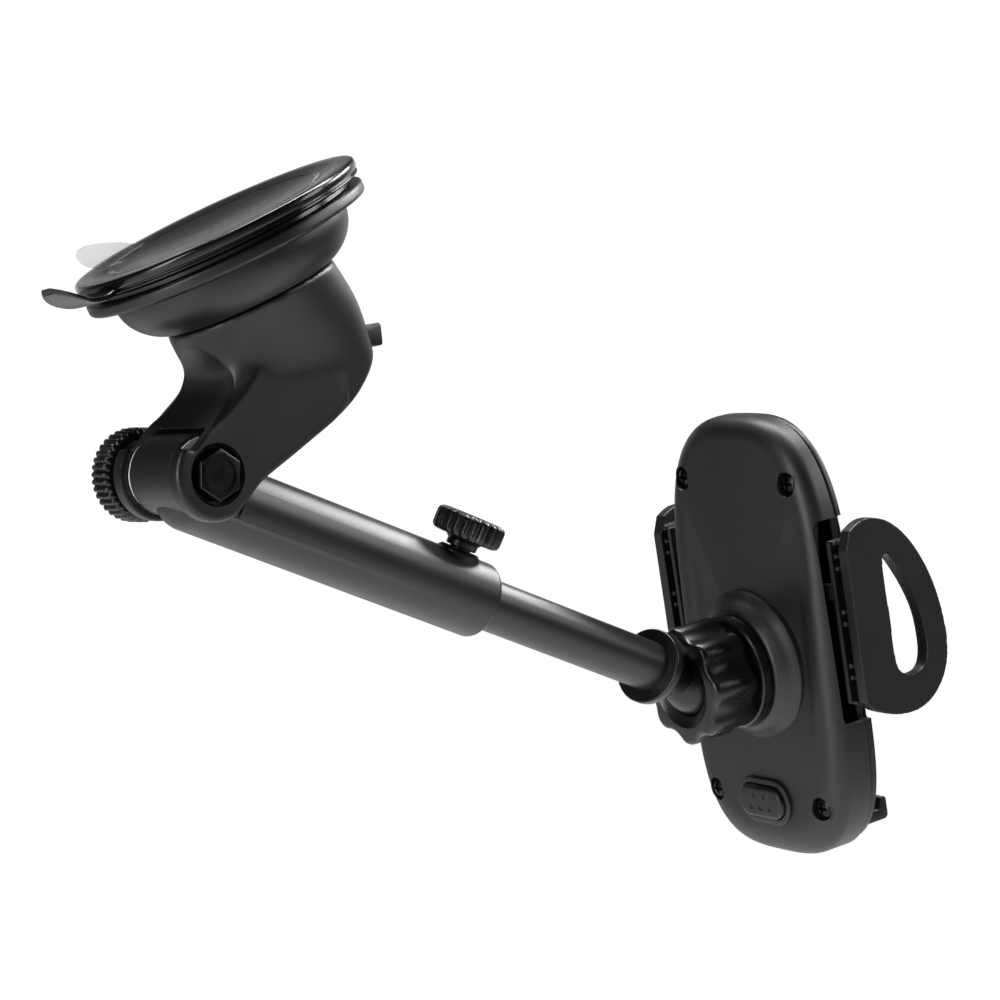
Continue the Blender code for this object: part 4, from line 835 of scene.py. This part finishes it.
def make_front():
    cover = round_edges(plate(cover_outline(0.4), 28.9, 30.9, "X"), 0.5, 3, 50)
    cover = cut(cover, jaw_notch(1, 27, 34), jaw_notch(-1, 27, 34))
    for side in (-1, 1):
        y = sorted((side * 6.7, side * 10.3))
        cover = cut(cover, block((28, y[0], -45.1), (33, y[1], -41.9)))
    post = moved(rod(1.5, 22.6, 29.2, "X", 32), z=12.0)
    cover = join(cover, post)
    for side in (-1, 1):
        y = sorted((side * 4.0, side * 6.5))
        lug = cut(block((20.6, y[0], -17.4), (29.2, y[1], -12.6)),
                  moved(rod(1.3, -8, 8, "Y", 32), x=23.05, z=-15.0))
        cover = join(cover, lug)
    piece("cradle_front", cover, CRADLE, ABS, "cradle", ["front_cover"])
    pad = cut(plate(cover_outline(3.2), 31.2, 31.9, "X"), jaw_notch(1, 30, 34),
              jaw_notch(-1, 30, 34), block((30, -40, -60), (34, 40, -39.2)))
    pad = round_edges(pad, 0.25, 2, 50)
    piece("phone_pad", pad, CRADLE, RUBBER, "cradle", ["front_pad"])


# outline of the D-shaped jaw and of its opening, (x, z)
JAW_EDGE = ((24.0, 35.4), (27.6, 37.1), (31.6, 37.2), (36.6, 35.2), (41.4, 30.8), (45.2, 25.0),
            (48.0, 18.4), (49.8, 11.2), (50.5, 3.6), (49.6, -2.8), (47.2, -7.4), (43.4, -10.9),
            (38.6, -12.7), (33.0, -12.6), (28.0, -11.2), (24.2, -9.4))
JAW_WINDOW = ((33.2, 0.4), (33.05, 12.0), (33.0, 25.0), (33.8, 27.4), (35.6, 26.6), (38.4, 22.2),
              (41.0, 16.6), (42.8, 10.4), (43.7, 3.8), (43.4, 0.0), (42.0, -2.4), (39.0, -3.6),
              (35.6, -3.0))


def towards(points, centre, step):
    """The outline moved in by step millimetres, roughly."""
    middle = Vector(centre)
    result = []
    for point in points:
        point = Vector(point)
        result.append(tuple(point - (point - middle).normalized() * step))
    return result


def jaw_edge(inset):
    spine = flow(JAW_EDGE, 5, closed=False)
    return [(22.3 + inset, -7.0)] + [(22.3 + inset, 31.0)] + towards(spine, (34, 12), inset)


def rack_outline(side, wall):
    """(y, z) outline of the toothed bar that meets the pinion."""
    pitch = TURN * 4.5 / 12
    upward = 1 if side < 0 else -1
    line = 12.0 + upward * 4.5
    root = line + upward * 1.0
    tip = line - upward * 0.7
    outline = [(-17.0, root + upward * 4.0), (-17.0, root)]
    number = math.ceil(-16.5 / pitch - 0.5)
    while (number + 0.5) * pitch + 0.8 < 8.0:
        centre = (number + 0.5) * pitch
        outline += [(centre - 0.8, root), (centre - 0.28, tip), (centre + 0.28, tip),
                    (centre + 0.8, root)]
        number += 1
    outline += [(wall, root), (wall, root + upward * 4.0)]
    return [(side * y, z) for y, z in outline]


def make_jaw(side, word):
    wall = CHANNEL_WALL
    shape = plate(jaw_edge(0.0), *sorted((side * JAW_IN, side * JAW_OUT)), "Y")
    window = plate(flow(JAW_WINDOW, 4), -60, 60, "Y")
    shape = cut(shape, window)
    channel = [(22.3, wall), (22.3, wall + 1.4), (26.8, wall + 1.4), (26.8, JAW_IN + 0.5),
               (28.2, JAW_IN + 0.5), (28.2, wall)]
    rings = [[Vector((x, side * y, z)) for x, y in channel] for z in (-8.0, 33.0)]
    ribs = []
    for z in (-8.0, -1.5, 1.5, 12.0, 15.0, 26.0, 29.0, 32.4):
        y = sorted((side * (wall + 0.5), side * (JAW_IN + 0.5)))
        ribs.append(block((23.5, y[0], z - 0.5), (27.7, y[1], z + 0.5)))
    rack = plate(rack_outline(side, wall + 0.5), 23.4, 25.9, "X")
    shape = melt(join(shape, loft(rings), *ribs, rack), 0.26, 3)
    piece(f"{word}_jaw_loop", shape, CRADLE, ABS, f"jaw_{word}",
          [f"{word}_jaw"])
    edge = [(max(x, 28.95), z) for x, z in jaw_edge(1.2) if x > 28.95 or abs(z - 12) > 18]
    pad = plate(edge, *sorted((side * 33.9, side * 35.0)), "Y")
    pad = cut(pad, plate(towards(flow(JAW_WINDOW, 4), (38, 9), -1.0), -60, 60, "Y"))
    piece(f"{word}_grip_pad", round_edges(pad, 0.3, 2, 50), CRADLE, RUBBER, f"jaw_{word}",
          [f"{word}_jaw_pad"])


def make_foot():
    low = FOOT_LOW
    top = FOOT_TOP
    tip = FOOT_TIP
    foot = block((26.8, -10.0, low), (28.6, 10.0, low + 6.0))
    shelf = [(31.2, low), (tip - 1.2, low)] + arc(tip - 1.2, low + 1.2, 1.2, -90, 0, 5)
    shelf += arc(tip - 0.9, top + 2.3, 0.9, 0, 180, 6) + [(tip - 2.6, top), (31.2, top)]
    for side in (-1, 1):
        prong = plate(shelf, *sorted((side * 7.0, side * 16.0)), "Y")
        neck = sorted((side * 7.0, side * 10.0))
        foot = join(foot, prong, block((27.0, neck[0], low), (32.2, neck[1], top)))
    piece("phone_foot", round_edges(foot, 0.3, 2, 50), CRADLE, ABS, "cradle",
          ["support_foot"])
    for side, word in ((1, "left"), (-1, "right")):
        y = sorted((side * 8.5, side * 14.5))
        pad = round_edges(block((32.15, y[0], top + 0.3), (39.05, y[1], top + 1.1)), 0.25, 3)
        piece(f"foot_grip_{word}", pad, CRADLE, RUBBER, "cradle",
              [f"foot_pad_{word}"])


# ---- inner pieces that stay as the frame has them -----------------------------------------------
KEPT = {
    "white_acetal": (ACETAL, ("hinge_washer_near", "hinge_washer_far", "guide_bush",
                              "tube_stop_ring", "ball_liner", "pressure_cup", "jaw_pinion")),
    "zinc_plated_steel": (ZINC, ("suction_plunger", "plunger_spring", "lever_pin", "latch_rocker",
                                 "rocker_pin", "rocker_spring", "pinion_spring",
                                 "socket_retainer")),
}


def finish_kept():
    for finish, names in KEPT.values():
        for name in names:
            mesh = frame["nodes"][name].data
            mesh.materials.clear()
            mesh.materials.append(finish)


# ---- studio -------------------------------------------------------------------------------------
CAMERA_AT = Vector((-0.3580, -0.5400, -0.0547))
CAMERA_AZIMUTH = math.radians(-39.07)
CAMERA_ELEVATION = math.radians(0.54)
LENS = 106.68
FLOOR_DROP = 0.35
BACKDROP_LEVEL = 1.05


def make_camera():
    data = bpy.data.cameras.new("studio_camera")
    data.lens = LENS
    data.sensor_width = 36.0
    data.clip_start = 0.01
    data.clip_end = 100.0
    camera = bpy.data.objects.new("studio_camera", data)
    bpy.context.scene.collection.objects.link(camera)
    a = CAMERA_AZIMUTH
    e = CAMERA_ELEVATION
    back = Vector((math.sin(a) * math.cos(e), -math.cos(a) * math.cos(e), math.sin(e)))
    camera.location = CAMERA_AT
    camera.rotation_mode = "QUATERNION"
    camera.rotation_quaternion = (-back).to_track_quat("-Z", "Y")
    bpy.context.scene.camera = camera


def softbox(name, place, aim, width, height, power):
    data = bpy.data.lights.new(name, "AREA")
    data.shape = "RECTANGLE"
    data.size = width
    data.size_y = height
    data.energy = power
    light = bpy.data.objects.new(name, data)
    bpy.context.scene.collection.objects.link(light)
    light.location = place
    light.rotation_mode = "QUATERNION"
    light.rotation_quaternion = (Vector(aim) - Vector(place)).to_track_quat("-Z", "Y")


def make_studio():
    """White backdrop straight behind the part, dim everywhere else, and soft boxes for the edges."""
    world = bpy.data.worlds.new("pale_studio")
    bpy.context.scene.world = world
    world.use_nodes = True
    tree = world.node_tree
    sky = tree.nodes["Background"]
    direction = add(tree, "ShaderNodeTexCoord").outputs["Generated"]
    behind = Vector((-math.sin(CAMERA_AZIMUTH), math.cos(CAMERA_AZIMUTH), 0.0))
    facing = add(tree, "ShaderNodeVectorMath", [(0, direction), (1, behind)],
                 operation="DOT_PRODUCT").outputs["Value"]
    glow = add(tree, "ShaderNodeMapRange", [("Value", facing), (1, 0.55), (2, 0.97), (3, 0.09),
                                            (4, 1.0)], interpolation_type="SMOOTHSTEP")
    height = add(tree, "ShaderNodeSeparateXYZ", [("Vector", direction)]).outputs["Z"]
    top = add(tree, "ShaderNodeMapRange", [("Value", height), (1, 0.12), (2, 0.40), (3, 1.0),
                                           (4, 0.10)], interpolation_type="SMOOTHSTEP")
    shade = add(tree, "ShaderNodeMath", [(0, glow.outputs[0]), (1, top.outputs[0])],
                operation="MULTIPLY")
    seen = add(tree, "ShaderNodeLightPath").outputs["Is Camera Ray"]
    level = add(tree, "ShaderNodeMix", [(0, seen), (2, shade.outputs[0]), (3, BACKDROP_LEVEL)])
    tree.links.new(level.outputs[0], sky.inputs["Strength"])
    sky.inputs["Color"].default_value = (1.0, 1.0, 1.0, 1.0)

    floor = bmesh.new()
    bmesh.ops.create_grid(floor, x_segments=1, y_segments=1, size=6.0)
    moved(floor, z=CAD_BOX[0].z - FLOOR_DROP)
    mesh = bpy.data.meshes.new("floor")
    floor.to_mesh(mesh)
    floor.free()
    mesh.materials.append(light_table())
    sheet = bpy.data.objects.new("floor", mesh)
    bpy.context.scene.collection.objects.link(sheet)

    middle = (0.06, 0.0, -0.06)
    softbox("top_strip", (0.25, 0.15, 0.80), middle, 1.0, 0.22, 14.0)
    softbox("key_strip", (0.82, -0.05, 0.45), middle, 0.60, 0.24, 7.0)
    softbox("left_box", (-0.95, -0.10, 0.05), middle, 0.30, 0.9, 7.0)
    softbox("right_box", (0.75, -0.75, 0.45), (0.15, 0.0, -0.08), 0.4, 0.5, 4.0)
    bpy.context.scene.view_settings.view_transform = "Standard"


make_camera()
make_studio()
make_pad()
make_film()
make_skirt()
make_neck()
make_lever()
make_bolt()
make_thumb_nut()
make_outer_tube()
make_clamp_screw()
make_inner_tube()
make_stem()
make_socket()
make_ball_nut()
make_back_cover()
make_cover_screws()
make_button()
make_front()
make_jaw(1, "left")
make_jaw(-1, "right")
make_foot()
finish_kept()
